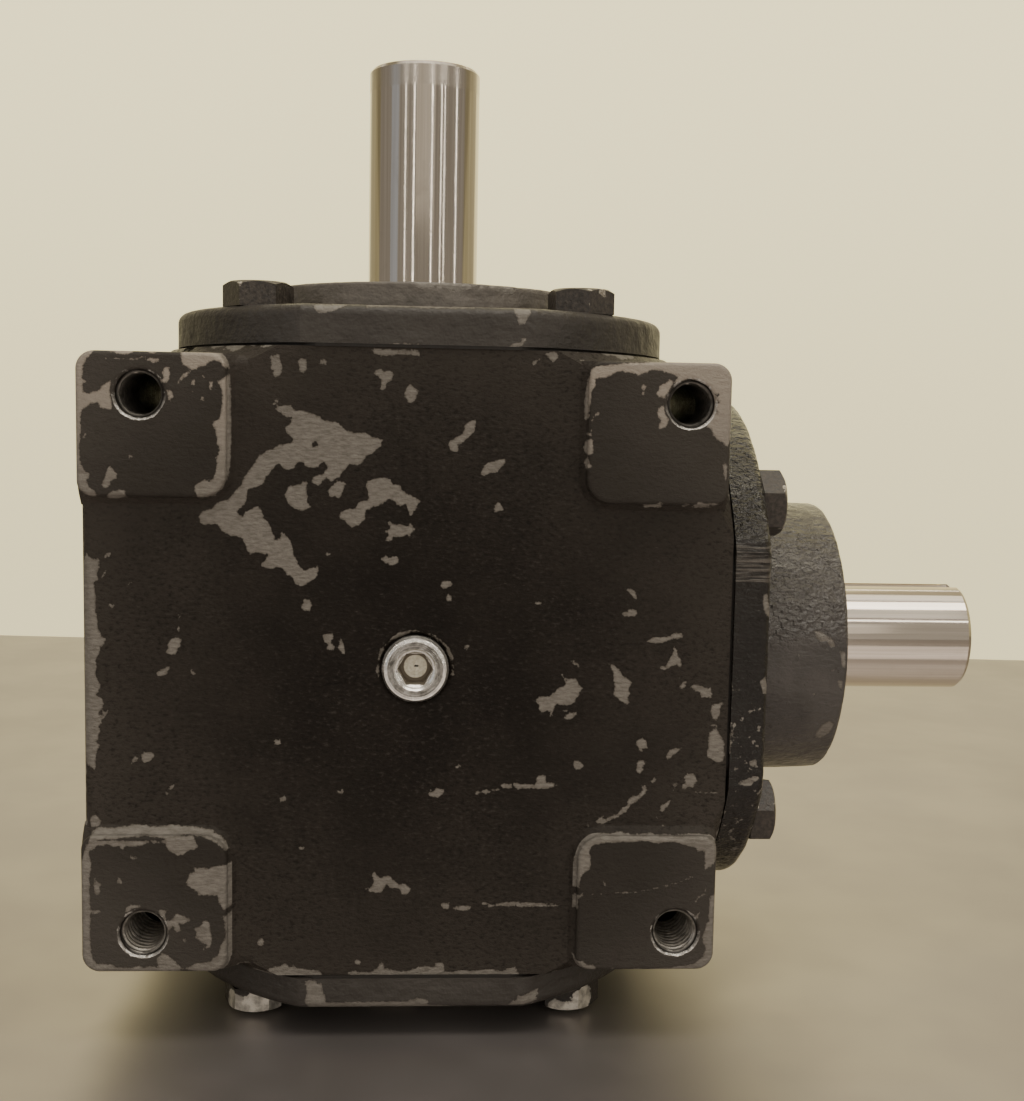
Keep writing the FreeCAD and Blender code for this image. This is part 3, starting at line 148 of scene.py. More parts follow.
PAD_CHIPS = [
    [(-65.2,-33.9),(-63.6,-33.2),(-60.4,-33.4),(-57.2,-32.8),(-52.8,-33.1),(-48.2,-32.8),(-44.4,-33.2),(-41.2,-33.7),(-38.8,-35.2),(-37.6,-37.4),(-38.2,-37.8),(-39.6,-35.9),(-42.6,-34.6),(-46.2,-34.4),(-49.8,-34.9),(-54.6,-34.5),(-59.2,-34.9),(-63.2,-35.1),(-65.6,-36.2)],
    [(-66.2,-37.2),(-65.7,-36),(-64.4,-35.3),(-50.6,-35.3),(-50.1,-35.8),(-53.9,-35.8),(-54.6,-36.3),(-57.3,-36.5),(-57.9,-36.3),(-58.8,-37.3),(-59.1,-36.5),(-60.6,-36.5),(-61.2,-36.1),(-64,-36.5),(-64.4,-37.9),(-64.7,-36.8),(-65.4,-37.9),(-64.9,-40.3),(-65.3,-42.7),(-65.3,-47.5),(-65.2,-51.7),(-65.4,-55.2),(-65.2,-58),(-64.8,-60.2),(-64.1,-61),(-61.1,-61.1),(-60.1,-61.7),(-57.5,-61.9),(-55.5,-61.5),(-54.5,-62),(-53.1,-61.5),(-51.8,-61.9),(-51.5,-63.8),(-61.5,-63.8),(-66.8,-62.2),(-67.7,-55.2),(-67.6,-41.3)],
    [(-50.1,-34.6),(-44.6,-34.4),(-43.5,-36.5),(-44.3,-37.1),(-45.3,-37.3),(-46.5,-38.2),(-47.7,-38.5),(-48.3,-38),(-49.3,-37.3),(-50,-36.3)],
    [(-36.7,-40.3),(-36.7,-42.7),(-36.7,-44.8),(-36.8,-49.3),(-38.5,-50),(-39.3,-48.3),(-39.8,-46.7),(-43.5,-46.7),(-43.9,-45.8),(-45,-45.3),(-46,-44.4),(-45.5,-43),(-45.5,-42.2),(-44.2,-41.8),(-44.5,-40.6),(-44,-41),(-42.3,-40.8),(-41.7,-41.3),(-40.3,-40.6)],
    [(-38.2,-51.1),(-39.2,-51.1),(-38.3,-51.9),(-38.2,-56),(-38.9,-56.8),(-39.7,-59.5),(-40.9,-60.2),(-41.2,-60.9),(-43.6,-60.9),(-45.4,-61.7),(-46.6,-62.1),(-42.1,-63.9),(-37,-63),(-36.5,-60.2),(-36.7,-50.4)],
    [(-52.1,-59.9),(-50.8,-58.9),(-49.4,-59.4),(-48.4,-60.5),(-47.1,-61.9),(-47.4,-63.8),(-51.5,-63.8),(-51.8,-61.5)],
    [(-64.4,-43),(-64.1,-42.7),(-63.8,-43.7),(-63.1,-44.4),(-62.5,-43.9),(-63.3,-44.8),(-63.1,-46.1),(-63.7,-46.7),(-64.3,-46.3),(-64.5,-44.8)],
    [(-65.8,-50.1),(-63.4,-49.6),(-62.9,-50.1),(-63.9,-50.5),(-65.4,-50.7),(-65.7,-51.7)],
    [(-58.4,-50.3),(-58.2,-49.3),(-57.4,-48.7),(-55.4,-48.8),(-55.2,-49.2),(-57,-49.6),(-58,-50.4)],
    [(-51.7,-50.3),(-51.2,-49.7),(-50,-49.8),(-50.2,-51.9),(-48.7,-51.9),(-48.4,-50.7),(-47.7,-50.4),(-46.5,-51.2),(-45.2,-51.6),(-45.4,-52.3),(-46.7,-52.8),(-47.6,-52.6),(-46.9,-54.2),(-47.9,-54.4),(-48.6,-53.3),(-49.2,-53.8),(-50.1,-55.6),(-50.1,-53.8),(-50.6,-51.7)],
    [(-44.7,-53.8),(-44.2,-53.3),(-43.2,-53.3),(-42.5,-51.9),(-41.4,-52.3),(-41,-54.7),(-40.7,-56),(-41.2,-57.7),(-42.6,-58.2),(-41.9,-57.2),(-43.4,-56.3),(-44.1,-55.6),(-43.9,-54.5)],
    [(-46.6,-55.4),(-46.1,-55.9),(-46.2,-56.6),(-46.6,-56.5)],
    [(-57.1,-38),(-56.6,-38.5),(-55.1,-38.7),(-56.1,-39.2),(-57,-39.1)],
    [(-59.6,-43),(-59.1,-43.2),(-58.8,-44.4),(-59.8,-44.1)],
    [(33.9,-35.7),(35.6,-34.3),(37.3,-33.5),(38.5,-34.1),(40.4,-34.1),(42.8,-33.8),(44.2,-34.1),(48,-34.3),(49,-34),(50.8,-34.3),(52.2,-34.3),(54.9,-34.3),(56.3,-34.3),(58.7,-34.1),(60.5,-34.3),(62.9,-34.1),(63.2,-37.8),(62.9,-39.9),(60.7,-41.3),(60.4,-37.4),(58.8,-37.4),(58.5,-36.6),(56.7,-36.4),(54.6,-35.5),(51.5,-35.5),(50.5,-36),(48.7,-35.3),(44.2,-35.5),(39.8,-35.7),(37.7,-36),(36.7,-36.6),(36.4,-37.8),(36.8,-40.3),(36.6,-41.3),(35.6,-41.9),(34.9,-42.7),(34.5,-44.1),(34.7,-45.2),(33.1,-45.6),(32.7,-43.4),(33,-41.3),(33.3,-39.9),(33.5,-37.8)],
    [(33.2,-47.3),(35.4,-46.3),(35.2,-47),(34.2,-47.4),(34.3,-49.8),(33.2,-50.2)],
    [(36.2,-46.5),(47,-46),(54.9,-44.1),(58.3,-42.6),(58.3,-42.9),(54.9,-44.3),(47,-46.2),(36.3,-46.7)],
    [(39.3,-43.7),(39.5,-43.7),(40.1,-45.1),(39.9,-45.2)],
    [(60.8,-44.9),(61.1,-45.6),(61,-46.7),(59.4,-47.4),(59,-48.5),(58.7,-48.4),(59.2,-47.1),(60.7,-46.5)],
    [(58.9,-51.3),(60.3,-49.1),(59.8,-50.2),(59.3,-52),(57.7,-51.3)],
    [(61.9,-47),(61.7,-49.1),(61.6,-51.3),(61.8,-52.4),(61.1,-52.9),(61,-54.5),(60.3,-55.9),(60.9,-57.4),(61.4,-58.4),(60.8,-59.5),(60.6,-60.2),(58.9,-61.5),(57.2,-62),(55.1,-62.2),(53,-62.5),(50.2,-62.5),(49.5,-63),(47.1,-62.5),(45.7,-62.5),(45,-63),(42.9,-63),(41.8,-62.3),(41.2,-63),(39.1,-63),(39.1,-64.3),(54.5,-64.3),(62.1,-63.5),(63.8,-61),(63.5,-46.3)],
    [(33.3,-59.4),(34.3,-60.8),(35.6,-61),(36.6,-61.7),(38.3,-61.7),(38.4,-64.3),(35.6,-64.1),(33.9,-62.6)],
    [(-67.1,60.7),(-65.6,62.8),(-63.3,63.5),(-63.3,63),(-64,61.9),(-65,61),(-65.4,60),(-65.6,57.4),(-64.8,57.1),(-64.7,56.7),(-65.5,56.7),(-65.5,55.1),(-64.8,54.6),(-62.5,55.2),(-61.9,56.2),(-60.1,57.2),(-60.3,55.2),(-60.1,53.5),(-59.7,51.4),(-62.3,51.8),(-62.6,52.7),(-64,52.6),(-64.8,51.8),(-65.8,51.3),(-66,49.9),(-65.9,46.8),(-66.2,45.6),(-66.3,43.7),(-66.2,41.1),(-65.7,40.1),(-65.1,39.3),(-64.4,38.9),(-64.5,37.9),(-64.9,37.7),(-64.5,36.3),(-63.4,35.4),(-63.1,34.3),(-64.8,34.4),(-66.7,35.8),(-67.5,37.7),(-67.8,40.8),(-67.8,45.6),(-67.8,50.3),(-67.6,57.4)],
    [(-65.6,45.6),(-65.4,46.8),(-65,46.9),(-65.1,45.9),(-65.5,45.4)],
    [(-61.5,63.5),(-59.3,63.5),(-56.1,63.5),(-55.8,62.8),(-57.2,62.2),(-58.6,62.5),(-60.5,62.7)],
    [(-53,63.6),(-51.2,63.6),(-51.4,62.7),(-52.3,62.4),(-52.9,62.7)],
    [(-59.8,61.7),(-57.5,61.4),(-56.3,61.5),(-53.7,62),(-52.6,61.8),(-50.7,61.6),(-50.9,61),(-51.9,60.6),(-52.6,61.1),(-53.7,61.5),(-55.8,61.3),(-57.7,61.3),(-59.8,61.3)],
    [(-61.1,61.5),(-60.8,61.5),(-60.8,61.2),(-61.1,61.2)],
    [(-51.4,58.3),(-51,58),(-50.3,57.6),(-50,58),(-50.2,58.9),(-49.8,60),(-48.9,60),(-48.6,59.2),(-48.8,57.8),(-49.2,57),(-50,57),(-50.5,56.5),(-50.8,57.4)],
    [(-49.5,55.9),(-48.4,55.3),(-48,54.4),(-48.8,53.3),(-49.1,53.6),(-49.1,54.4)],
    [(-47.3,56.7),(-46.8,57.8),(-45.8,59.1),(-44.8,59.3),(-45,58.7),(-46.3,57.6),(-47.1,56.7)],
    [(-46.6,63.3),(-39.2,63.4),(-37.9,62.4),(-37.3,60.4),(-37.2,59.4),(-38.2,60.3),(-39,61.2),(-40.4,61.5),(-41.2,61.2),(-41.4,60.6),(-43,60.2),(-43.4,59.8),(-44.5,59.5),(-45.3,60.2),(-46.2,60.5),(-46.5,61.5)],
    [(-44.6,57.3),(-44.1,57.9),(-43.7,57.6),(-44,56.6),(-44.5,56.7)],
    [(-42.5,58.3),(-42.1,58.6),(-41.8,58.2),(-42.1,57.9)],
    [(-44.5,55.4),(-44.3,55.6),(-44.1,55.4),(-44.3,55.2)],
    [(-41.1,55.8),(-41,57.2),(-40.5,57.5),(-40.2,57),(-40.7,55.7)],
    [(-42.9,53.9),(-42.5,54.4),(-41.8,54.1),(-42.2,53.5)],
    [(-39.4,57.2),(-38.3,58.2),(-37.2,59.2),(-37.1,53.3),(-37,46.1),(-37.2,41.1),(-37.5,38.9),(-38.5,36.3),(-40.4,34.7),(-43.5,34.3),(-44,36.2),(-44,36.7),(-41.8,38.3),(-41.3,37.7),(-40.2,38.2),(-39.7,40.3),(-39.5,41.1),(-39.9,42),(-39.2,43.7),(-39.2,44.6),(-39.7,45.4),(-39.6,46.6),(-39.9,48),(-40.5,49.4),(-39.2,50),(-38.7,51.8),(-38.5,54.4),(-38.8,56.5)],
    [(-62.1,36.4),(-61.5,38.2),(-61.1,39.7),(-60.5,40.5),(-59.1,39.1),(-59.2,37.9),(-60.3,37.5),(-60.5,36.4),(-61.4,36)],
    [(-56.9,42.6),(-55.9,42.5),(-56.7,41.8)],
    [(-61.5,34.1),(-60.1,35.7),(-57.5,35.7),(-57.4,34.2),(-59.8,33.9)],
    [(34.3,61.1),(35.3,62.1),(36.1,62.1),(38.7,62.3),(40.7,62.6),(42.6,62.7),(45.1,62.9),(48.7,63.1),(51.4,63.2),(54.8,63.2),(59.7,63.6),(62.5,62.2),(63.6,59.5),(63.9,57.1),(63.7,54.2),(63.3,52.3),(63.4,48.6),(62.4,46.3),(60.2,47.8),(59.2,48.6),(58.9,49.9),(57.7,50.2),(58.7,52.2),(59.3,54.9),(58.4,57.8),(56.4,59.4),(54.1,59.9),(52,58.8),(51,58.8),(52.2,60.5),(52,60.3),(50,60.7),(48.3,61.3),(46.6,61.4),(45.1,60.6),(43.7,60.3),(42.4,60.7),(41.2,60.9),(39.7,60.9),(37.3,59.7),(36.4,59.5),(35.4,59.5),(35.2,57.5),(34.7,57.3),(34.3,53.7),(34.1,51.3),(33.3,51.2),(33.4,55.6),(33.8,58.7)],
    [(47.4,56.8),(48,57.5),(48,58.2),(49.6,59.1),(50.3,59.8),(51,58.8),(50.1,57.3),(49.2,55.6),(48.5,56.2),(48.2,55.9)],
    [(47.7,52.7),(48.1,53.9),(49.1,54.6),(49.5,52.7),(50.3,51.3),(49.6,49.8),(48.2,49.7),(48.2,50.5),(48.7,51.6),(47.9,52.1)],
    [(44.3,58),(44.9,58.5),(45.5,58.2),(45.4,57.5),(44.8,57.3)],
    [(44.4,56.4),(45,57.1),(45.4,56.8),(45,56.1),(44.6,56.1)],
    [(34.5,51.1),(35.3,52.5),(36.1,52.7),(36.3,52.1),(35.3,51.9),(34.9,51)],
    [(33.6,48.3),(34.7,49.3),(35,49.5),(34.6,48)],
    [(33.6,47.1),(34.7,47.5),(35.1,47.3),(35.3,44.7),(34.3,44),(33.4,44.7)],
    [(33.5,43),(34.2,43.7),(34.5,42.3),(35.1,42.2),(35,41.6),(33.9,41.3)],
    [(45.6,34.4),(48.3,34.5),(48.8,35),(49.5,34.8),(49.6,33.7),(45.9,33.7)],
    [(53.9,34.5),(55.2,34.7),(55.2,34),(53.9,33.9)],
    [(56,34.6),(56.9,35.3),(57.9,34.9),(59.4,34.9),(59.3,33.9),(56.2,33.8)],
    [(59.9,35),(60.9,34.8),(60.4,34.2),(59.7,34.3)],
    [(61.5,43.2),(62.3,42.8),(62.6,41.3),(62.2,39.3),(61.7,41)],
]

PAINT_ISLANDS = [
    [(-21.1,45.8),(-20,46.1),(-20.2,44.8),(-21.1,44.8)],
    [(59.6,56.6),(59.9,56.9),(60.2,56.6),(59.9,56.2)],
    [(59.7,55.4),(60,55.7),(60.4,55.4),(60.1,55)],
    [(59.5,53.2),(59.8,53.6),(60.2,53.2),(59.9,52.8)],
]

TOP_CAP_CHIPS = [
    [(-21.3,73.2),(-14.4,73.4),(-14.7,72.6),(-15.9,72.4),(-16.6,72),(-18.4,71.4),(-19.7,71.2),(-20.5,72)],
    [(-10.8,73.4),(0.1,73.6),(0.1,72.9),(-5.2,72.9),(-10.7,72.7)],
    [(-6.1,65.8),(0.2,65.8),(0.2,65.4),(-6.1,65.4)],
    [(0.1,73.4),(11,73.6),(11,73),(5.4,72.8),(0.1,72.8)],
    [(18.6,73.3),(22.2,73.3),(22.3,72.2),(20.6,69.6),(19.3,69.6),(19.6,71.2)],
    [(17.6,65.2),(20,66.9),(21.3,67.6),(21.4,66.3),(20.1,65.5)],
    [(17.7,65.4),(19.9,66.6),(21.3,67.5),(21.4,66.3),(19.6,65.4)],
]

BOTTOM_CAP_CHIPS = [
    [(-22.3,-65.7),(-18,-65.9),(-18.4,-67),(-19.2,-67.5),(-18,-68.7),(-17.8,-70.4),(-17.3,-72.5),(-21.1,-73),(-22.1,-70.2),(-21.6,-68)],
    [(-21.1,-70.5),(-15.9,-70.6),(-7.3,-70.5),(-1.1,-70.4),(2,-69.7),(3.7,-70.4),(3.1,-71.3),(7.2,-71.6),(10.7,-72.2),(7.2,-73.4),(-21.1,-73.4)],
    [(20.1,-71.5),(21.7,-70.4),(22.4,-69.3),(24.8,-69),(26.5,-68.1),(27.4,-68.8),(27.1,-70.8),(26.6,-71.4),(20.7,-71.7)],
]

SIDE_CAP_CHIPS = [
    [(71.2,-2),(72.6,-1.2),(73.4,-3.2),(73.3,-4.9),(72.2,-4.8),(71.8,-3.6)],
    [(65.4,-2.2),(66,-3.4),(66.4,-5),(65.8,-5.2)],
    [(71.2,-11.4),(72,-11.6),(71.8,-12.8),(71.1,-12.4)],
    [(65.4,-12.6),(66.3,-12.9),(66.9,-14.1),(66,-15),(65.8,-17.2),(65.4,-17.4)],
    [(69.8,-18.2),(70.8,-18),(71.6,-19.2),(71,-20.4),(69.9,-20.1),(69.6,-19.3)],
    [(67.2,-22.8),(68.8,-23.2),(70,-22.3),(71.2,-22),(72.2,-22.6),(71,-23.4),(69.9,-24.4),(68.2,-24.2),(67.3,-23.8)],
    [(70.4,-17.1),(71.3,-17.2),(71.1,-17.8),(70.4,-17.8)],
    [(66.6,-20.3),(67.8,-20.4),(67.6,-21.1),(66.6,-21)],
    [(68.8,-13.8),(69.7,-13.9),(69.3,-14.7)],
    [(67.4,-3.6),(68.2,-3.8),(67.7,-4.5)],
    [(68.6,-9.9),(69.2,-9.8),(69,-10.5)],
    [(71.2,15.9),(72.4,16.2),(72.9,14.2),(73.4,12.6),(73.3,11.2),(72.4,11.6),(71.4,13.2)],
    [(72.8,21.2),(73.5,21),(73.5,18.3),(72.9,18.6)],
]

SIDE_BOSS_CHIPS = [
    [(87.6,5.6),(89,5.8),(90.2,4.9),(91.8,4),(92.6,2.4),(91.6,2),(90.6,3.4),(89.2,3.2),(88.2,4)],
    [(93.6,1.4),(94.9,1),(95.2,-2.8),(94.2,-2.6),(93.9,-0.6)],
    [(93.4,-5.2),(94.8,-5.4),(94.7,-7.6),(93.9,-7.2)],
    [(90.6,-18.6),(91.6,-16.4),(93.2,-15.4),(94.4,-16.2),(93.9,-18.4),(92.6,-19.6),(91.4,-20.2),(90.9,-19.6)],
    [(83.9,0.4),(84.6,0.5),(84.5,-0.2)],
    [(88.2,-8.6),(88.9,-8.5),(88.7,-9.3)],
    [(91.8,-3.1),(92.5,-3),(92.2,-3.7)],
]

# bright spots on the bolt heads: (x, y, z, radius) in metres
TOP_BOLT_SPOTS = [(-0.0370, -0.0406, 0.1564, 0.0007), (0.0385, -0.0396, 0.1559, 0.0012), (0.0349, -0.0404, 0.1567, 0.0005)]
SIDE_BOLT_SPOTS = [(0.0782, -0.0392, 0.1150, 0.0012), (0.0780, -0.0385, 0.1075, 0.0010), (0.0735, -0.0402, 0.0470, 0.0013), (0.0783, -0.0390, 0.0470, 0.0009)]
BOTTOM_BOLT_SPOTS = [(-0.0325, -0.0402, 0.0018, 0.0042), (-0.0290, -0.0400, 0.0018, 0.0030), (-0.0385, -0.0385, 0.0025, 0.0030),
                     (0.0375, -0.0398, 0.0032, 0.0031), (0.0318, -0.0402, 0.0012, 0.0022), (0.0346, -0.0402, 0.0010, 0.0021)]

FLOOR_A, FLOOR_B = (0.342, 0.313, 0.302), (0.388, 0.359, 0.352)
WALL_A, WALL_B = (0.30, 0.272, 0.225), (0.33, 0.300, 0.250)
WALL_GLOW = (1.0, 0.885, 0.465)
WALL_GLOW_STRENGTH = 1.62
# name, place, aim, size, watts, colour, second size
LIGHTS = [
    ("overhead", (0.15, -0.29, 1.25), (0.15, 0, 0.08), 1.3, 7.0, (1.0, 0.93, 0.82), 0.42),
    ("ceiling_fill", (0.15, 0.32, 1.45), (0.15, 0, 0.08), 1.5, 4.0, (1.0, 0.93, 0.82), 0.7),
    ("front_ceiling", (0.15, -0.745, 1.14), (0.15, 0, 0.08), 1.0, 0.8, (1.0, 0.93, 0.82), 0.45),
    ("front_panel", (0.10, -1.50, 0.66), (0.10, 0, 0.14), 1.1, 0.85, (1.0, 0.90, 0.76), 0.55),
    ("front_strip", (0.15, -0.92, 0.84), (0.15, 0, 0.08), 1.0, 0.6, (1.0, 0.94, 0.84), 0.04),
    ("rear_strip", (0.15, 0.36, 0.60), (0.15, 0, 0.08), 1.0, 0.25, (1.0, 0.94, 0.84), 0.015),
    ("floor_bounce", (0.05, -0.1625, 0.004), (0.05, -0.12, 1.0), 1.1, 0.26, (1.0, 0.87, 0.77), 0.155),
    ("left_panel", (-0.985, -0.512, 0.32), (0, 0, 0.12), 0.34, 0.30, (0.52, 0.71, 1.0), 0.9),
]
# narrow upright lamps round the camera, seen as fine lines in the ground shaft: degrees from the camera's side, watts
LAMPS = [(-38.3, 0.22), (-20.5, 0.34), (16.2, 0.34), (35.8, 0.22), (43.8, 0.22), (70.5, 0.30)]
WORLD_COLOUR, WORLD_STRENGTH = (1.0, 0.90, 0.76), 0.42

PAINT_DARK, PAINT_LIGHT, PAINT_DUST = (0.0100, 0.0078, 0.0060), (0.0165, 0.0130, 0.0102), (0.036, 0.030, 0.023)
# the lighter paint colours for the outer parts of the front face and of its pads are painted light
PAINT_OUTER_LIGHT = (0.0630, 0.0550, 0.0465)
PAD_PAINT, PAD_OUTER_LIGHT = (0.0315, 0.0277, 0.0235), (0.066, 0.0595, 0.0518)
CAP_DARK, CAP_LIGHT, CAP_DUST_AND_SHEEN = (0.038, 0.0334, 0.0288), (0.053, 0.0476, 0.0416), (0.14, 0.124, 0.105)
CAP_BOSS = (0.150, 0.135, 0.117)
CAST_DARK, CAST_LIGHT, CAST_DUST_AND_GLINT = (0.0115, 0.0099, 0.0084), (0.0190, 0.0167, 0.0144), (0.18, 0.162, 0.140)
CAST_BOSS_DARK, CAST_BOSS_LIGHT = (0.049, 0.0445, 0.0408), (0.080, 0.0735, 0.0678)
IRON_DARK, IRON_LIGHT = (0.152, 0.140, 0.122), (0.232, 0.217, 0.193)
IRON_SPECK, IRON_RIM_SHADOW = (0.075, 0.064, 0.052), (0.095, 0.081, 0.065)
IRON_PAD = (0.365, 0.324, 0.276)
LIP_DARK, LIP_LIGHT = (0.34, 0.325, 0.30), (0.72, 0.70, 0.66)

MM = 0.001
LIFT = 0.0783           # height of the shaft crossing above the resting face


# ---------------------------------------------------------------------------
# mesh helpers
# ---------------------------------------------------------------------------

def node_arrays(name):
    """Welded vertices and triangles of a CAD node."""
    me = nodes[name].data
    me.calc_loop_triangles()
    v = np.zeros(len(me.vertices) * 3)
    me.vertices.foreach_get("co", v)
    v = v.reshape(-1, 3)
    t = np.zeros(len(me.loop_triangles) * 3, np.int64)
    me.loop_triangles.foreach_get("vertices", t)
    t = t.reshape(-1, 3)
    key, first, idx = np.unique(np.round(v, 6), axis=0, return_index=True, return_inverse=True)
    idx = idx.ravel()
    t = idx[t]
    ok = (t[:, 0] != t[:, 1]) & (t[:, 1] != t[:, 2]) & (t[:, 0] != t[:, 2])
    return v[first], t[ok]


def refine(v, t, limit, rounds=14):
    """Splits edges longer than limit(midpoints) until none is left; the mesh stays conforming."""
    for _ in range(rounds):
        e = np.sort(np.vstack([t[:, [0, 1]], t[:, [1, 2]], t[:, [2, 0]]]), axis=1)
        u, inv = np.unique(e, axis=0, return_inverse=True)
        inv = inv.ravel()
        a, b = v[u[:, 0]], v[u[:, 1]]
        mid = (a + b) / 2
        long = np.linalg.norm(a - b, axis=1) > limit(mid)
        if not long.any():
            break
        number = np.full(len(u), -1, np.int64)
        number[long] = len(v) + np.arange(int(long.sum()))
        v = np.vstack([v, mid[long]])
        n = len(t)
        m = np.stack([number[inv[:n]], number[inv[n:2 * n]], number[inv[2 * n:]]], axis=1)
        count = (m >= 0).sum(1)
        out = [t[count == 0]]
        for k in range(3):
            i, j, l = t[:, k], t[:, (k + 1) % 3], t[:, (k + 2) % 3]
            p, q, r = m[:, k], m[:, (k + 1) % 3], m[:, (k + 2) % 3]
            s = (count == 1) & (p >= 0)
            out += [np.stack([i, p, l], 1)[s], np.stack([p, j, l], 1)[s]]
            s = (count == 2) & (r < 0)
            # edges i-j and j-l are split: cut the corner j, then the quad along its shorter diagonal
            if s.any():
                d1 = np.linalg.norm(v[i[s]] - v[q[s]], axis=1)
                d2 = np.linalg.norm(v[p[s]] - v[l[s]], axis=1)
                out.append(np.stack([p, j, q], 1)[s])
                near = d1 <= d2
                I, P, Q, L = i[s], p[s], q[s], l[s]
                out += [np.stack([I, P, Q], 1)[near], np.stack([I, Q, L], 1)[near]]
                out += [np.stack([I, P, L], 1)[~near], np.stack([P, Q, L], 1)[~near]]
        s = count == 3
        i, j, l = t[s].T
        p, q, r = m[s].T
        out += [np.stack(x, 1) for x in ((i, p, r), (p, j, q), (r, q, l), (p, q, r))]
        t = np.vstack(out)
    return v, t


def remesh(v, t, limit, spacing, least_area=60e-6):
    """Refines a CAD mesh evenly. Curved parts have their long edges split; each flat face, where
    spacing(normal, centre) gives a grid step, is triangulated again on an even grid."""
    n = np.cross(v[t[:, 1]] - v[t[:, 0]], v[t[:, 2]] - v[t[:, 0]])
    size = np.linalg.norm(n, axis=1)
    unit = n / np.maximum(size, 1e-30)[:, None]
    off = (unit * v[t[:, 0]]).sum(1)
    key = np.hstack([np.round(unit, 3), np.round(off, 5)[:, None]]) + 0.0
    _, group = np.unique(key, axis=0, return_inverse=True)
    group = group.ravel()
    area = np.bincount(group, size / 2)
    flat = np.zeros(len(t), bool)
    out_v, out_t = [], []
    for g in np.nonzero(area > least_area)[0]:
        s = group == g
        normal = unit[s].mean(0)
        normal /= np.linalg.norm(normal)
        centre = (v[t[s]].mean(1) * size[s][:, None]).sum(0) / size[s].sum()
        step = spacing(normal, centre)
        if not step:
            continue
        flat |= s
        e = np.vstack([t[s][:, [0, 1]], t[s][:, [1, 2]], t[s][:, [2, 0]]])
        u, first, count = np.unique(np.sort(e, axis=1), axis=0, return_index=True, return_counts=True)
        rim = e[first[count == 1]]
        # split the rim by the same rule as the curved neighbours
        chains = []
        stack = [(v[a], v[b]) for a, b in rim]
        while stack:
            a, b = stack.pop()
            mid = (a + b) / 2
            if np.linalg.norm(a - b) > limit(mid[None])[0]:
                stack += [(a, mid), (mid, b)]
            else:
                chains.append((a, b))
        ends = np.array(chains)
        pts = np.round(ends.reshape(-1, 3), 7)
        _, f, inv = np.unique(pts, axis=0, return_index=True, return_inverse=True)
        rim_pts = ends.reshape(-1, 3)[f]
        rim_edges = inv.reshape(-1, 2)
        axis_u = np.cross(normal, (0, 0, 1) if abs(normal[2]) < 0.9 else (1, 0, 0))
        axis_u /= np.linalg.norm(axis_u)
        axis_w = np.cross(normal, axis_u)
        origin = rim_pts[0]
        flat2 = np.stack([(rim_pts - origin) @ axis_u, (rim_pts - origin) @ axis_w], 1)
        lo, hi = flat2.min(0), flat2.max(0)
        rows = np.arange(lo[1] + step * 0.4, hi[1], step * 0.866)
        grid = []
        for k, w in enumerate(rows):
            us = np.arange(lo[0] + step * (0.3 + 0.5 * (k % 2)), hi[0], step)
            grid.append(np.stack([us, np.full(len(us), w)], 1))
        grid = np.vstack(grid) if grid else np.zeros((0, 2))

        def inside(q):
            odd = np.zeros(len(q), bool)
            for a, b in flat2[rim_edges]:
                if a[1] == b[1]:
                    continue
                band = np.nonzero((a[1] > q[:, 1]) != (b[1] > q[:, 1]))[0]
                at = a[0] + (q[band, 1] - a[1]) * (b[0] - a[0]) / (b[1] - a[1])
                odd[band] ^= q[band, 0] < at
            return odd

        grid = grid[inside(grid)]
        tree = KDTree(len(flat2))
        for k, q in enumerate(flat2):
            tree.insert((q[0], q[1], 0), k)
        tree.balance()
        keep = np.array([tree.find((q[0], q[1], 0))[2] > step * 0.42 for q in grid], bool) if len(grid) else []
        allp = np.vstack([flat2, grid[keep]]) if len(grid) else flat2
        scaled = allp / MM
        made = delaunay_2d_cdt([Vector(q) for q in scaled], [tuple(map(int, q)) for q in rim_edges], [], 0, 1e-7, False)
        mv = np.array([tuple(q) for q in made[0]]) * MM
        mt = np.array([tuple(f) for f in made[2]], np.int64)
        ok = inside(mv[mt].mean(1))
        mt = mt[ok]
        turn = np.cross(mv[mt[:, 1]] - mv[mt[:, 0]], mv[mt[:, 2]] - mv[mt[:, 0]])
        mt[turn < 0] = mt[turn < 0][:, ::-1]
        back = origin + mv[:, :1] * axis_u + mv[:, 1:] * axis_w
        # rim points keep their exact places
        if len(mv) == len(allp):
            back[:len(rim_pts)] = rim_pts
        out_v.append(back)
        out_t.append(mt)
    rv, rt = refine(v, t[~flat], limit)
    base = len(rv)
    vs, ts = [rv], [rt]
    for a, b in zip(out_v, out_t):
        vs.append(a)
        ts.append(b + base)
        base += len(a)
    v, t = np.vstack(vs), np.vstack(ts)
    _, first, idx = np.unique(np.round(v, 6), axis=0, return_index=True, return_inverse=True)
    t = idx.ravel()[t]
    ok = (t[:, 0] != t[:, 1]) & (t[:, 1] != t[:, 2]) & (t[:, 0] != t[:, 2])
    used, t = np.unique(t[ok], return_inverse=True)
    return v[first][used], t.reshape(-1, 3)


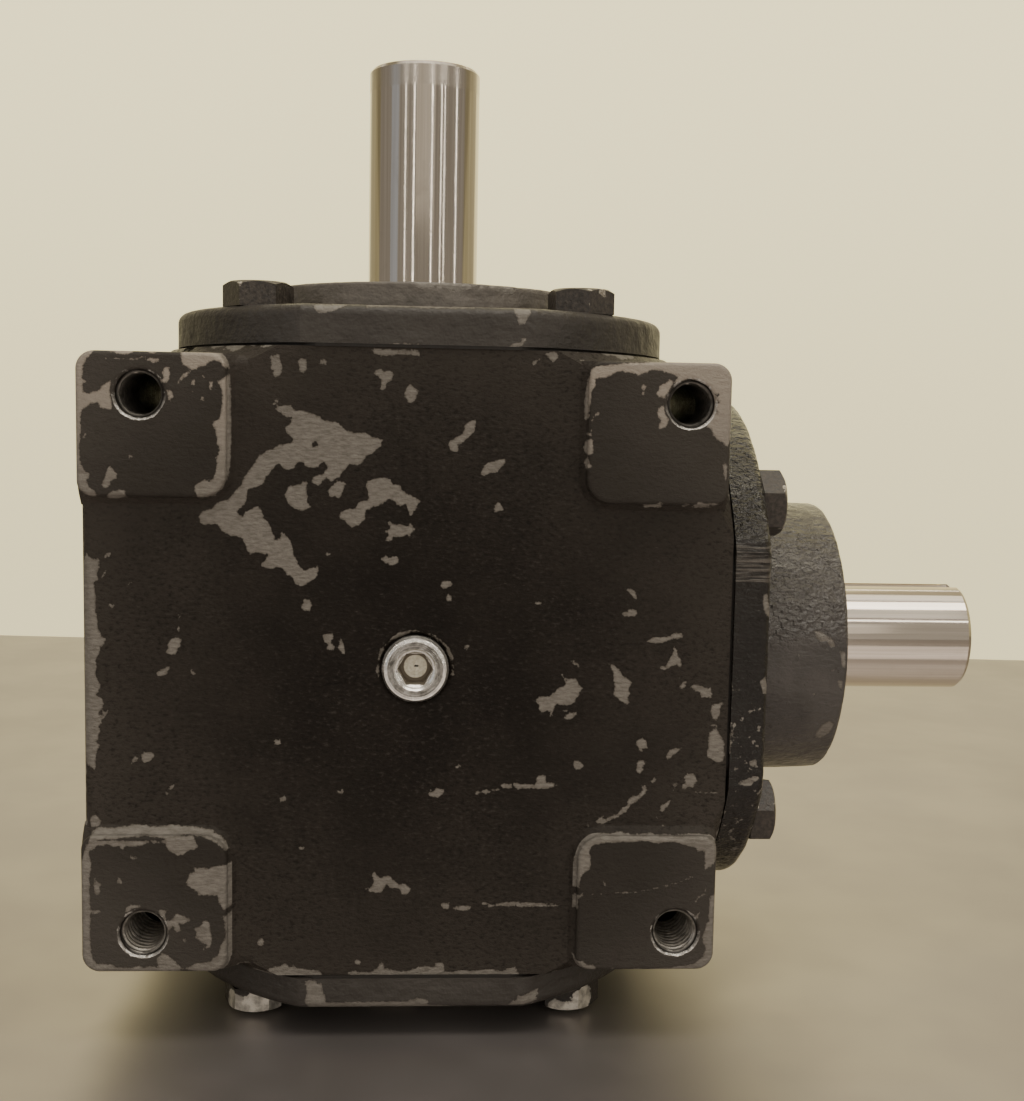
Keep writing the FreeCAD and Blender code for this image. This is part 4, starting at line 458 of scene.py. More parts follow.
def sharp_points(v, t, degrees, step):
    """Points along the outward edges whose faces turn by more than the angle."""
    n = np.cross(v[t[:, 1]] - v[t[:, 0]], v[t[:, 2]] - v[t[:, 0]])
    n /= np.maximum(np.linalg.norm(n, axis=1, keepdims=True), 1e-30)
    c = v[t].mean(1)
    e = np.sort(np.vstack([t[:, [0, 1]], t[:, [1, 2]], t[:, [2, 0]]]), axis=1)
    f = np.tile(np.arange(len(t)), 3)
    order = np.lexsort((e[:, 1], e[:, 0]))
    e, f = e[order], f[order]
    same = (e[1:] == e[:-1]).all(1)
    i = np.nonzero(same)[0]
    fa, fb, ed = f[i], f[i + 1], e[i]
    turn = (n[fa] * n[fb]).sum(1) < math.cos(math.radians(degrees))
    convex = ((c[fb] - c[fa]) * n[fa]).sum(1) < 0
    ed = ed[turn & convex]
    pts = []
    for a, b in ed:
        k = max(1, int(np.linalg.norm(v[a] - v[b]) / step))
        s = (np.arange(k + 1) / k)[:, None]
        pts.append(v[a] * (1 - s) + v[b] * s)
    return np.vstack(pts) if pts else np.zeros((0, 3))


def near_distance(v, pts, most):
    """Distance from each vertex to the nearest of the points, up to most."""
    tree = KDTree(max(1, len(pts)))
    for i, p in enumerate(pts):
        tree.insert(p, i)
    tree.balance()
    out = np.full(len(v), most)
    if len(pts):
        for i, p in enumerate(v):
            d = tree.find(p)[2]
            out[i] = min(most, d)
    return out


def outline_distance(px, pz, outlines, reach=3.0):
    """Signed distance in mm to the union of closed outlines, positive inside, at least -reach."""
    out = np.full(len(px), -reach)
    for poly in outlines:
        q = np.asarray(poly, float)
        lo, hi = q.min(0) - reach, q.max(0) + reach
        s = np.nonzero((px > lo[0]) & (px < hi[0]) & (pz > lo[1]) & (pz < hi[1]))[0]
        if not len(s):
            continue
        x, z = px[s], pz[s]
        best = np.full(len(s), 1e9)
        inside = np.zeros(len(s), bool)
        for k in range(len(q)):
            ax, az = q[k]
            bx, bz = q[(k + 1) % len(q)]
            dx, dz = bx - ax, bz - az
            w = np.clip(((x - ax) * dx + (z - az) * dz) / max(dx * dx + dz * dz, 1e-12), 0, 1)
            best = np.minimum(best, (x - ax - w * dx) ** 2 + (z - az - w * dz) ** 2)
            if (az > bz) != (bz > az) or az != bz:
                cross = ((az > z) != (bz > z))
                at = ax + (z - az) * dx / (dz if dz else 1e-12)
                inside ^= cross & (x < at)
        d = np.sqrt(best)
        d[~inside] *= -1
        out[s] = np.maximum(out[s], d)
    return out


def value_noise(p, scale, seed=0):
    """Smooth repeatable noise in -1..1 for an array of points."""
    q = p * scale + seed * 17.13
    i = np.floor(q).astype(np.int64)
    f = q - i
    f = f * f * (3 - 2 * f)

    def h(ix, iy, iz):
        n = (ix * 374761393 + iy * 668265263 + iz * 2147483647 + seed * 974634777) & 0xFFFFFFFF
        n = ((n ^ (n >> 13)) * 1274126177) & 0xFFFFFFFF
        n = n ^ (n >> 16)
        return (n & 0xFFFF) / 32767.5 - 1.0

    r = 0
    for dx in (0, 1):
        for dy in (0, 1):
            for dz in (0, 1):
                w = (f[:, 0] if dx else 1 - f[:, 0]) * (f[:, 1] if dy else 1 - f[:, 1]) * (f[:, 2] if dz else 1 - f[:, 2])
                r = r + w * h(i[:, 0] + dx, i[:, 1] + dy, i[:, 2] + dz)
    return r


def vertex_normals(v, t):
    n = np.cross(v[t[:, 1]] - v[t[:, 0]], v[t[:, 2]] - v[t[:, 0]])
    out = np.zeros_like(v)
    for k in range(3):
        np.add.at(out, t[:, k], n)
    return out / np.maximum(np.linalg.norm(out, axis=1, keepdims=True), 1e-30)


def new_piece(name, v, t, material, body, attributes=None, sharp=35.0, replace=()):
    me = bpy.data.meshes.new(name)
    me.vertices.add(len(v))
    me.vertices.foreach_set("co", np.asarray(v, np.float32).ravel())
    t = np.asarray(t, np.int32)
    k = t.shape[1]
    me.loops.add(t.size)
    me.loops.foreach_set("vertex_index", t.ravel())
    me.polygons.add(len(t))
    me.polygons.foreach_set("loop_start", np.arange(0, t.size, k, dtype=np.int32))
    me.update(calc_edges=True)
    me.validate()
    me.polygons.foreach_set("use_smooth", np.ones(len(me.polygons), bool))
    if sharp is not None:
        me.set_sharp_from_angle(angle=math.radians(sharp))
    for key, values in (attributes or {}).items():
        at = me.attributes.new(key, "FLOAT", "POINT")
        at.data.foreach_set("value", np.asarray(values, np.float32))
    me.materials.append(material)
    o = bpy.data.objects.new(name, me)
    bpy.context.scene.collection.objects.link(o)
    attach(o, body)
    if replace:
        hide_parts(*replace)
    return o


# ---------------------------------------------------------------------------
# material helpers
# ---------------------------------------------------------------------------

class Look:
    """A node material around one Principled shader."""

    def __init__(self, name):
        self.mat = bpy.data.materials.new(name)
        self.mat.use_nodes = True
        self.tree = self.mat.node_tree
        self.tree.nodes.clear()
        self.out = self.tree.nodes.new("ShaderNodeOutputMaterial")
        self.bsdf = self.tree.nodes.new("ShaderNodeBsdfPrincipled")
        self.tree.links.new(self.bsdf.outputs["BSDF"], self.out.inputs["Surface"])
        self.where = self.tree.nodes.new("ShaderNodeTexCoord").outputs["Object"]

    def put(self, socket, value):
        if isinstance(value, bpy.types.NodeSocket):
            self.tree.links.new(value, socket)
        elif isinstance(value, (tuple, list)) and len(value) == 3 and len(socket.default_value) == 4:
            socket.default_value = (*value, 1.0)
        else:
            socket.default_value = value

    def set(self, **inputs):
        for k, value in inputs.items():
            self.put(self.bsdf.inputs[k.replace("_", " ")], value)
        return self

    def math(self, op, a, b=0.0, c=0.0, clamp=False):
        n = self.tree.nodes.new("ShaderNodeMath")
        n.operation = op
        n.use_clamp = clamp
        for s, x in zip(n.inputs, (a, b, c)):
            self.put(s, x)
        return n.outputs[0]

    def vec(self, op, a, b=(0, 0, 0)):
        n = self.tree.nodes.new("ShaderNodeVectorMath")
        n.operation = op
        self.put(n.inputs[0], a)
        self.put(n.inputs[1], b)
        return n.outputs["Value"] if op in ("DISTANCE", "LENGTH", "DOT_PRODUCT") else n.outputs["Vector"]

    def stretch(self, x, y, z):
        return self.vec("MULTIPLY", self.where, (x, y, z))

    def noise(self, scale, detail=3.0, rough=0.5, warp=0.0, at=None, colour=False):
        n = self.tree.nodes.new("ShaderNodeTexNoise")
        self.put(n.inputs["Vector"], at if at is not None else self.where)
        n.inputs["Scale"].default_value = scale
        n.inputs["Detail"].default_value = detail
        n.inputs["Roughness"].default_value = rough
        n.inputs["Distortion"].default_value = warp
        return n.outputs["Color" if colour else "Fac"]

    def cells(self, scale, feature="F1", at=None, random=1.0):
        n = self.tree.nodes.new("ShaderNodeTexVoronoi")
        n.feature = feature
        self.put(n.inputs["Vector"], at if at is not None else self.where)
        n.inputs["Scale"].default_value = scale
        n.inputs["Randomness"].default_value = random
        return n.outputs["Distance"]

    def ramp(self, fac, lo, hi, a=0.0, b=1.0, smooth=True):
        n = self.tree.nodes.new("ShaderNodeMapRange")
        n.interpolation_type = "SMOOTHSTEP" if smooth else "LINEAR"
        n.clamp = True
        for s, x in zip(n.inputs[:5], (fac, lo, hi, a, b)):
            self.put(s, x)
        return n.outputs[0]

    def mix(self, fac, a, b, kind="MIX"):
        n = self.tree.nodes.new("ShaderNodeMix")
        n.data_type = "RGBA"
        n.blend_type = kind
        self.put(n.inputs["Factor"], fac)
        s = [i for i in n.inputs if i.type == "RGBA"]
        self.put(s[0], a)
        self.put(s[1], b)
        return [o for o in n.outputs if o.type == "RGBA"][0]

    def lerp(self, fac, a, b):
        n = self.tree.nodes.new("ShaderNodeMix")
        n.data_type = "FLOAT"
        s = [i for i in n.inputs if i.type == "VALUE"]
        self.put(s[0], fac)
        self.put(s[1], a)
        self.put(s[2], b)
        return [o for o in n.outputs if o.type == "VALUE"][0]

    def attr(self, name):
        n = self.tree.nodes.new("ShaderNodeAttribute")
        n.attribute_type = "GEOMETRY"
        n.attribute_name = name
        return n.outputs["Fac"]

    def bump(self, height, distance, strength=1.0, normal=None):
        n = self.tree.nodes.new("ShaderNodeBump")
        n.inputs["Strength"].default_value = strength
        n.inputs["Distance"].default_value = distance
        self.put(n.inputs["Height"], height)
        if normal is not None:
            self.put(n.inputs["Normal"], normal)
        return n.outputs["Normal"]

    def parts(self, vector):
        n = self.tree.nodes.new("ShaderNodeSeparateXYZ")
        self.put(n.inputs[0], vector)
        return n.outputs

    def spots(self, places, raggedness=0.0, noise=None):
        """Signed distance in metres to the nearest of some (x, y, z, radius) spots, positive inside."""
        best = None
        for x, y, z, r in places:
            d = self.math("SUBTRACT", r, self.vec("DISTANCE", self.where, (x, y, z)))
            best = d if best is None else self.math("MAXIMUM", best, d)
        if noise is not None:
            best = self.math("ADD", best, self.math("MULTIPLY", self.math("SUBTRACT", noise, 0.5), raggedness))
        return best


def srgb(r, g, b):
    def lin(c):
        c /= 255.0
        return c / 12.92 if c <= 0.04045 else ((c + 0.055) / 1.055) ** 2.4
    return (lin(r), lin(g), lin(b))


# ---------------------------------------------------------------------------
# materials
# ---------------------------------------------------------------------------

def painted_iron(name, kind):
    """Old black paint over cast iron. The vertex values chip and edge (mm) say where it is worn through.
    kind is body (brushed paint), cap (smoother, turned) or cast (glossy pebbled skin)."""
    m = Look(name)
    chip, edge = m.attr("chip"), m.attr("edge")
    fine = m.noise(2600, 3, 0.6)
    ragged = m.noise(900, 4, 0.62)
    broad = m.noise(60, 3, 0.55)
    patch = m.noise(150, 4, 0.6)
    p = m.parts(m.where)

    # worn edges where no outline was drawn
    wear = m.math("SUBTRACT", m.math("MULTIPLY", m.math("SUBTRACT", patch, 0.47), 9.0), m.math("MULTIPLY", edge, 1.1))
    rough_edge = m.math("ADD", m.math("MULTIPLY", m.math("SUBTRACT", ragged, 0.5), 0.85), m.math("MULTIPLY", m.math("SUBTRACT", fine, 0.5), 0.75))
    total = m.math("MAXIMUM", m.math("ADD", chip, rough_edge), wear)
    if kind == "cast":
        # the lower half of the flange is peppered with small knocks
        up = m.math("SUBTRACT", p[2], LIFT)
        boss = m.ramp(p[0], 0.0732, 0.0736)
        out = m.math("SQRT", m.math("ADD", m.math("MULTIPLY", p[1], p[1]), m.math("MULTIPLY", up, up)))
        rim = m.ramp(out, 0.0465, 0.0502)
        flake = m.math("MULTIPLY", m.math("SUBTRACT", m.noise(520, 3, 0.62), 0.645), 14.0)
        spared = m.math("ADD", m.math("MULTIPLY", boss, 6.0), m.ramp(up, -0.012, 0.016, 0.0, 6.0))
        total = m.math("MAXIMUM", total, m.math("SUBTRACT", flake, spared))
    bare = m.ramp(total, -0.06, 0.07)

    # paint: brown black, a little uneven, faint level brush marks
    brush = m.noise(1.0, 4, 0.55, at=m.stretch(130, 130, 430))
    dust_and_glint = m.ramp(m.noise(1500, 2, 0.5), 0.66, 0.8)
    if kind == "cast":
        paint = m.mix(m.ramp(broad, 0.3, 0.7), CAST_DARK, CAST_LIGHT)
        # the flange's flat shows cutter lines
        cut = m.math("MULTIPLY", m.ramp(up, 0.0180, 0.0188), m.ramp(up, 0.0258, 0.0268, 1.0, 0.0))
        cut = m.math("MULTIPLY", m.math("MULTIPLY", cut, rim), m.ramp(boss, 0.0, 1.0, 1.0, 0.0))
        lines = m.ramp(m.noise(1.0, 3, 0.65, at=m.stretch(60, 60, 1300)), 0.42, 0.62)
        paint = m.mix(m.math("MULTIPLY", cut, m.math("MULTIPLY", lines, 0.6)), paint, CAST_DUST_AND_GLINT)
        paint = m.mix(boss, paint, m.mix(m.ramp(broad, 0.3, 0.7), CAST_BOSS_DARK, CAST_BOSS_LIGHT))
        # light specks: dust, which on the flange also stand in as painted glints
        paint = m.mix(m.math("MULTIPLY", dust_and_glint, 0.4), paint, CAST_DUST_AND_GLINT)
        # the skin is coarse on the upper half of the flange and on a band of the boss, smoother elsewhere
        band = m.math("MULTIPLY", m.ramp(up, 0.0005, 0.0070, 0.16, 1.0), m.ramp(up, 0.0240, 0.0290, 1.0, 0.3))
        # and even all over the flange's face
        coarse = m.lerp(boss, m.lerp(rim, 0.55, m.ramp(up, 0.0255, 0.0275, 0.25, 1.0)), band)
    elif kind == "cap":
        paint = m.mix(m.ramp(broad, 0.3, 0.7), CAP_DARK, CAP_LIGHT)
        rise = m.ramp(p[2], LIFT + 0.0729, LIFT + 0.0742)
        paint = m.mix(m.math("MULTIPLY", rise, m.ramp(patch, 0.3, 0.65, 0.55, 1.0)), paint, CAP_BOSS)
        # lighter along the edges: dust, and a painted highlight on the rims
        paint = m.mix(m.math("MULTIPLY", m.ramp(edge, 0.15, 1.0, 0.55, 0.0), m.ramp(patch, 0.38, 0.6)), paint, CAP_DUST_AND_SHEEN)
        paint = m.mix(m.math("MULTIPLY", dust_and_glint, 0.25), paint, CAP_DUST_AND_SHEEN)
    else:
        paint = m.mix(m.ramp(broad, 0.3, 0.7), PAINT_DARK, PAINT_LIGHT)
        # painted light and shade: darker in the middle of the face, lighter towards its edges
        up = m.math("SUBTRACT", p[2], LIFT)
        out = m.math("SQRT", m.math("ADD", m.math("MULTIPLY", p[0], p[0]), m.math("MULTIPLY", up, up)))
        out = m.math("ADD", out, m.math("MULTIPLY", m.math("SUBTRACT", broad, 0.5), 0.018))
        outer_light = m.ramp(out, 0.006, 0.085, 0.0, 1.0, False)
        paint = m.mix(m.math("MULTIPLY", outer_light, outer_light), paint, PAINT_OUTER_LIGHT)
        # brushed skin: painted highlights on its small lumps and painted shade between them
        skin = m.noise(1.0, 4, 0.62, at=m.stretch(860, 860, 1500))
        much = m.ramp(m.noise(28, 2, 0.5), 0.35, 0.65, 0.4, 1.0)
        paint = m.mix(m.math("MULTIPLY", m.ramp(skin, 0.28, 0.52, 0.6, 0.0), much), paint, (0.0012, 0.0010, 0.0008))
        paint = m.mix(m.math("MULTIPLY", m.ramp(skin, 0.54, 0.72, 0.0, 0.8), much), paint, (0.046, 0.0404, 0.0346))
        # the raised pads take a lighter paint, which also lays painted sheen on their flares; towards the edges of the
        # face they get painted light
        proud = m.ramp(m.math("ABSOLUTE", p[1]), 0.0508, 0.0526)
        pad = m.mix(m.ramp(out, 0.055, 0.092), PAD_PAINT, PAD_OUTER_LIGHT)
        # the upper right pad gets more of the same painted light
        pad = m.mix(m.math("MULTIPLY", m.ramp(p[0], 0.02, 0.05, 0.0, 0.38), m.ramp(up, 0.02, 0.05)), pad, PAD_OUTER_LIGHT)
        paint = m.mix(m.math("MULTIPLY", proud, m.ramp(m.noise(90, 3, 0.5), 0.25, 0.6, 0.55, 1.0)), paint, pad)
        paint = m.mix(m.math("MULTIPLY", dust_and_glint, 0.3), paint, PAINT_DUST)
        # hair scratches that run level, with painted glints along them
        glint = m.ramp(m.noise(1.0, 2, 0.5, at=m.stretch(800, 800, 3600)), 0.70, 0.78)
        glint = m.math("MULTIPLY", glint, m.ramp(m.noise(45, 3, 0.6), 0.48, 0.62))
        paint = m.mix(m.math("MULTIPLY", glint, 0.5), paint, (0.12, 0.106, 0.09))

    # bare iron: grey, finely streaked, with dark specks left in the grain and a painted shadow along the chip rims
    grain = m.noise(1.0, 4, 0.6, at=m.stretch(520, 520, 1900))
    iron = m.mix(m.ramp(grain, 0.3, 0.7), IRON_DARK, IRON_LIGHT)
    if kind == "body":
        # paler on the upper pads
        iron = m.mix(m.math("MULTIPLY", proud, m.ramp(up, 0.030, 0.064, 0.0, 0.85)), iron, IRON_PAD)
    iron = m.mix(m.ramp(fine, 0.62, 0.76, 0.0, 0.5), iron, IRON_SPECK)
    # painted shadow of the paint's edge along the rims of the chips
    iron = m.mix(m.math("MULTIPLY", m.ramp(total, 0.02, 0.35, 1.0, 0.0), 0.5), iron, IRON_RIM_SHADOW)

    colour = m.mix(bare, paint, iron)
    low, high = {"body": (0.32, 0.46), "cap": (0.40, 0.54), "cast": (0.21, 0.33)}[kind]
    rough_paint = m.ramp(m.noise(420, 3, 0.6), 0.3, 0.7, low, high)
    if kind == "cast":
        rough_paint = m.lerp(coarse, m.ramp(m.noise(420, 3, 0.6), 0.3, 0.7, 0.30, 0.42), m.ramp(m.noise(420, 3, 0.6), 0.3, 0.7, 0.12, 0.22))
    rough = m.lerp(bare, rough_paint, m.ramp(grain, 0.2, 0.8, 0.42, 0.6))
    metal = m.math("MULTIPLY", bare, 0.3)
    if kind == "body":
        # the mouths of the tapped holes are bright cut metal, with painted light on the lower lips
        hx = m.math("SUBTRACT", m.math("ABSOLUTE", p[0]), 0.05475)
        hz = m.math("SUBTRACT", m.math("ABSOLUTE", m.math("SUBTRACT", p[2], LIFT)), 0.05475)
        hr = m.math("SQRT", m.math("ADD", m.math("MULTIPLY", hx, hx), m.math("MULTIPLY", hz, hz)))
        uneven = m.math("MULTIPLY", m.math("SUBTRACT", ragged, 0.5), 0.0007)
        lip = m.math("MULTIPLY", m.ramp(m.math("ADD", hr, uneven), 0.00522, 0.00530, 1.0, 0.0),
                     m.ramp(m.math("ABSOLUTE", p[1]), 0.0518, 0.0522))
        # painted light: brightest on the lower lip, broken up above
        low = m.math("MULTIPLY", hz, m.math("SIGN", m.math("SUBTRACT", p[2], LIFT)))
        lip = m.math("MULTIPLY", lip, m.math("MAXIMUM", m.ramp(low, -0.0042, 0.0004, 1.0, 0.0), m.ramp(m.noise(420, 3, 0.6), 0.5, 0.62, 0.0, 0.75)))
        colour = m.mix(lip, colour, m.mix(m.ramp(m.noise(1100, 3, 0.6), 0.35, 0.65), LIP_DARK, LIP_LIGHT))
        metal = m.math("MAXIMUM", metal, m.math("MULTIPLY", lip, 0.9))
        rough = m.lerp(lip, rough, 0.3)

    step = m.ramp(total, -0.12, 0.12, 1.0, 0.0)
    normal = m.bump(step, 0.00011, 0.9)
    if kind == "cast":
        lumps = m.noise(1.0, 3, 0.55, at=m.stretch(620, 620, 900))
        normal = m.bump(m.math("MULTIPLY", lumps, coarse), 0.0021, 0.9, normal)
        normal = m.bump(m.noise(1.0, 2, 0.5, at=m.stretch(330, 330, 1300)), 0.00035, 0.5, normal)
        normal = m.bump(m.math("MULTIPLY", lines, cut), 0.00025, 0.6, normal)
    elif kind == "cap":
        normal = m.bump(m.noise(1.0, 3, 0.5, at=m.stretch(150, 150, 700)), 0.0005, 0.4, normal)
        normal = m.bump(m.noise(260, 3, 0.6), 0.0012, 0.45, normal)
        normal = m.bump(m.noise(900, 3, 0.55), 0.0003, 0.4, normal)
    else:
        normal = m.bump(brush, 0.00030, 0.5, normal)
        normal = m.bump(skin, 0.0006, 0.6, normal)
        normal = m.bump(fine, 0.00007, 0.35, normal)
    m.set(Base_Color=colour, Roughness=rough, Metallic=metal, Normal=normal)
    m.set(Specular_IOR_Level={"body": 0.12, "cap": 0.4, "cast": 0.5}[kind])
    if kind == "cast":
        m.set(Specular_IOR_Level=m.lerp(coarse, m.lerp(boss, 0.14, 0.4), m.lerp(boss, 0.75, 0.85)))
    return m.mat


def bolt_black(name, bright, zinc, tone=1.0):
    """Black bolt heads with bright places where the paint is knocked off."""
    m = Look(name)
    n = m.noise(1300, 4, 0.6)
    worn = m.spots(bright, 0.0022, m.noise(800, 3, 0.6))
    speck = m.math("MULTIPLY", m.math("SUBTRACT", m.noise(520, 3, 0.6), 0.73), 0.012)
    bare = m.ramp(m.math("MAXIMUM", worn, speck), -0.00012, 0.00016)
    paint = m.mix(m.ramp(n, 0.35, 0.7), tuple(tone * c for c in srgb(32, 29, 26)), tuple(tone * c for c in srgb(54, 49, 44)))
    if zinc:
        metal = m.mix(m.ramp(m.noise(420, 4, 0.6), 0.35, 0.65), srgb(160, 156, 148), srgb(228, 224, 214))
    else:
        metal = m.mix(m.ramp(n, 0.35, 0.65), srgb(120, 113, 103), srgb(186, 180, 168))
    m.set(Base_Color=m.mix(bare, paint, metal), Metallic=m.math("MULTIPLY", bare, 0.6),
          Roughness=m.lerp(bare, m.ramp(n, 0.3, 0.7, 0.32, 0.5), 0.42))
    normal = m.bump(m.ramp(bare, 0, 1, 1, 0), 0.00008, 0.8)
    normal = m.bump(m.noise(900, 3, 0.6), 0.00035, 0.5, normal)
    m.set(Normal=normal)
    return m.mat


def steel(name, dark, light, rough, stretch=(1, 1, 1), scale=500, bump=0.00012, metallic=1.0):
    """Plain machined steel with a directional grain."""
    m = Look(name)
    at = m.stretch(*stretch)
    g = m.noise(scale, 4, 0.6, at=at)
    spots = m.noise(140, 3, 0.6)
    c = m.mix(m.ramp(g, 0.3, 0.7), dark, light)
    c = m.mix(m.ramp(spots, 0.6, 0.75, 0.0, 0.35), c, tuple(0.5 * x for x in dark))
    m.set(Base_Color=c, Roughness=m.ramp(g, 0.25, 0.75, rough * 0.8, rough * 1.25), Normal=m.bump(g, bump, 0.5))
    m.set(Metallic=metallic)
    return m.mat


def shaft_steel(name, axis, light_gain):
    """Drawn and ground shaft: fine lines along the bar, a duller band at the end, a few handling marks. The last
    argument lightens all its colours, painted light that makes the level shaft brighter than the upright one.
    """
    m = Look(name)
    p = m.parts(m.where)
    along = p["XYZ".index(axis)]
    lines = m.noise(1.0, 4, 0.6, at=m.stretch(*((14, 1300, 1300) if axis == "X" else (1300, 1300, 14))))
    wide = m.noise(1.0, 2, 0.5, at=m.stretch(*((6, 300, 300) if axis == "X" else (300, 300, 6))))
    marks = m.noise(120, 4, 0.6, warp=0.4)
    c = m.mix(m.ramp(lines, 0.3, 0.7), tuple(light_gain * k for k in (0.43, 0.388, 0.334)), tuple(light_gain * k for k in (0.52, 0.476, 0.420)))
    c = m.mix(m.ramp(wide, 0.35, 0.65, 0.0, 0.4), c, tuple(light_gain * k for k in (0.40, 0.36, 0.31)))
    c = m.mix(m.ramp(marks, 0.58, 0.75, 0.0, 0.18), c, tuple(light_gain * k for k in (0.33, 0.295, 0.25)))
    rough = m.ramp(lines, 0.3, 0.75, 0.07, 0.115)
    rough = m.math("ADD", rough, m.ramp(marks, 0.55, 0.78, 0.0, 0.05))
    if axis == "Z":
        band = m.ramp(along, 0.2031, 0.2037)
        c = m.mix(m.math("MULTIPLY", band, 0.25), c, (0.40, 0.36, 0.31))
        rough = m.math("ADD", rough, m.math("MULTIPLY", band, 0.13))
    else:
        up = m.math("SUBTRACT", p[2], LIFT)
        r = m.math("SQRT", m.math("ADD", m.math("MULTIPLY", p[1], p[1]), m.math("MULTIPLY", up, up)))
        slot = m.math("MULTIPLY", m.ramp(r, 0.01235, 0.01255, 1.0, 0.0), m.ramp(along, 0.1303, 0.1306, 1.0, 0.0))
        rough = m.lerp(slot, rough, 0.5)
        c = m.mix(slot, c, (0.70, 0.64, 0.57))
    normal = m.bump(wide, 0.00010, 0.30)
    normal = m.bump(lines, 0.00002, 0.35, normal)
    m.set(Base_Color=c, Roughness=rough, Normal=normal)
    m.set(Metallic=1.0)
    return m.mat


def zinc_plug():
    """Zinc plated pipe plug: bright outer ring, a painted dark reflection in the flat ring, dark dirt specks, darker
    socket walls, and a bright socket floor with painted shade round its edge and a dark pit.
    """
    m = Look("zinc_plug")
    p = m.parts(m.where)
    dx, dz = p[0], m.math("SUBTRACT", p[2], LIFT)
    r = m.math("SQRT", m.math("ADD", m.math("MULTIPLY", dx, dx), m.math("MULTIPLY", dz, dz)))
    deep = m.math("ABSOLUTE", p[1])
    turned = m.math("SINE", m.math("MULTIPLY", r, 9000.0))
    blotch = m.noise(520, 4, 0.6)
    small = m.noise(1500, 3, 0.6)
    # painted reflection: the flat ring is darkened as if it mirrors dark surroundings
    ring = m.math("MULTIPLY", m.ramp(r, 0.00432, 0.00445), m.ramp(r, 0.0056, 0.0058, 1.0, 0.0))
    c = m.mix(m.ramp(blotch, 0.3, 0.7), (0.66, 0.645, 0.605), (0.95, 0.94, 0.90))
    c = m.mix(m.math("MULTIPLY", ring, m.ramp(blotch, 0.25, 0.62, 0.9, 0.55)), c, (0.062, 0.058, 0.052))
    c = m.mix(m.ramp(small, 0.62, 0.74, 0.0, 0.7), c, (0.06, 0.048, 0.034))
    # the socket walls are darker
    wall = m.math("MULTIPLY", m.ramp(deep, 0.0482, 0.0484), m.ramp(deep, 0.0509, 0.0513, 1.0, 0.0))
    wall = m.math("MULTIPLY", wall, m.ramp(r, 0.0037, 0.0039, 1.0, 0.0))
    c = m.mix(m.math("MULTIPLY", wall, 0.8), c, (0.30, 0.26, 0.20))
    floor = m.ramp(deep, 0.0481, 0.0483, 1.0, 0.0)
    base = m.mix(m.ramp(small, 0.35, 0.65), (0.74, 0.69, 0.55), (0.92, 0.89, 0.76))
    # painted shade along the edge of the socket floor, where it meets the walls
    base = m.mix(m.ramp(r, 0.0023, 0.0025), base, (0.15, 0.125, 0.09))
    pit = m.vec("DISTANCE", m.vec("MULTIPLY", m.where, (1.0, 0.0, 2.2)), (0.0002, 0.0, 2.2 * (LIFT + 0.0001)))
    base = m.mix(m.ramp(m.math("ADD", pit, m.math("MULTIPLY", m.math("SUBTRACT", small, 0.5), 0.0006)), 0.0004, 0.0006, 1.0, 0.0), base, (0.006, 0.005, 0.004))
    c = m.mix(floor, c, base)
    shine = m.math("MAXIMUM", floor, m.math("MULTIPLY", wall, 0.6))
    m.set(Base_Color=c, Roughness=m.lerp(shine, m.ramp(blotch, 0.3, 0.7, 0.13, 0.28), 0.5),
          Metallic=m.lerp(shine, 0.85, 0.2),
          Normal=m.bump(m.math("ADD", m.math("MULTIPLY", turned, 0.2), blotch), 0.00018, 0.6))
    return m.mat


def thread_steel():
    """Cut threads: bright crests, painted shade in the roots, more painted shade in the upper holes."""
    m = Look("cut_threads")
    a = m.attr("crest")
    n = m.noise(900, 3, 0.6)
    # painted shade: the threads of the upper holes are darker
    shade = m.ramp(m.parts(m.where)[2], LIFT - 0.001, LIFT + 0.001, 1.0, 0.42)
    c = m.mix(m.math("MULTIPLY", m.math("MULTIPLY", m.ramp(a, 0.15, 0.85), shade), m.ramp(n, 0.3, 0.6, 0.6, 1.0)), (0.014, 0.0115, 0.009), (0.58, 0.55, 0.50))
    m.set(Base_Color=c, Roughness=m.ramp(n, 0.3, 0.7, 0.3, 0.5), Metallic=m.ramp(a, 0.2, 0.8, 0.3, 0.9),
          Normal=m.bump(n, 0.0001, 0.4))
    return m.mat


def seal_rubber():
    m = Look("seal_rubber")
    n = m.noise(900, 4, 0.6)
    d = m.noise(130, 3, 0.6)
    c = m.mix(m.ramp(n, 0.3, 0.7), srgb(20, 19, 18), srgb(34, 32, 30))
    c = m.mix(m.ramp(d, 0.52, 0.7, 0.0, 0.6), c, srgb(70, 62, 52))
    m.set(Base_Color=c, Roughness=m.ramp(d, 0.3, 0.7, 0.42, 0.66), Normal=m.bump(n, 0.0002, 0.4))
    return m.mat


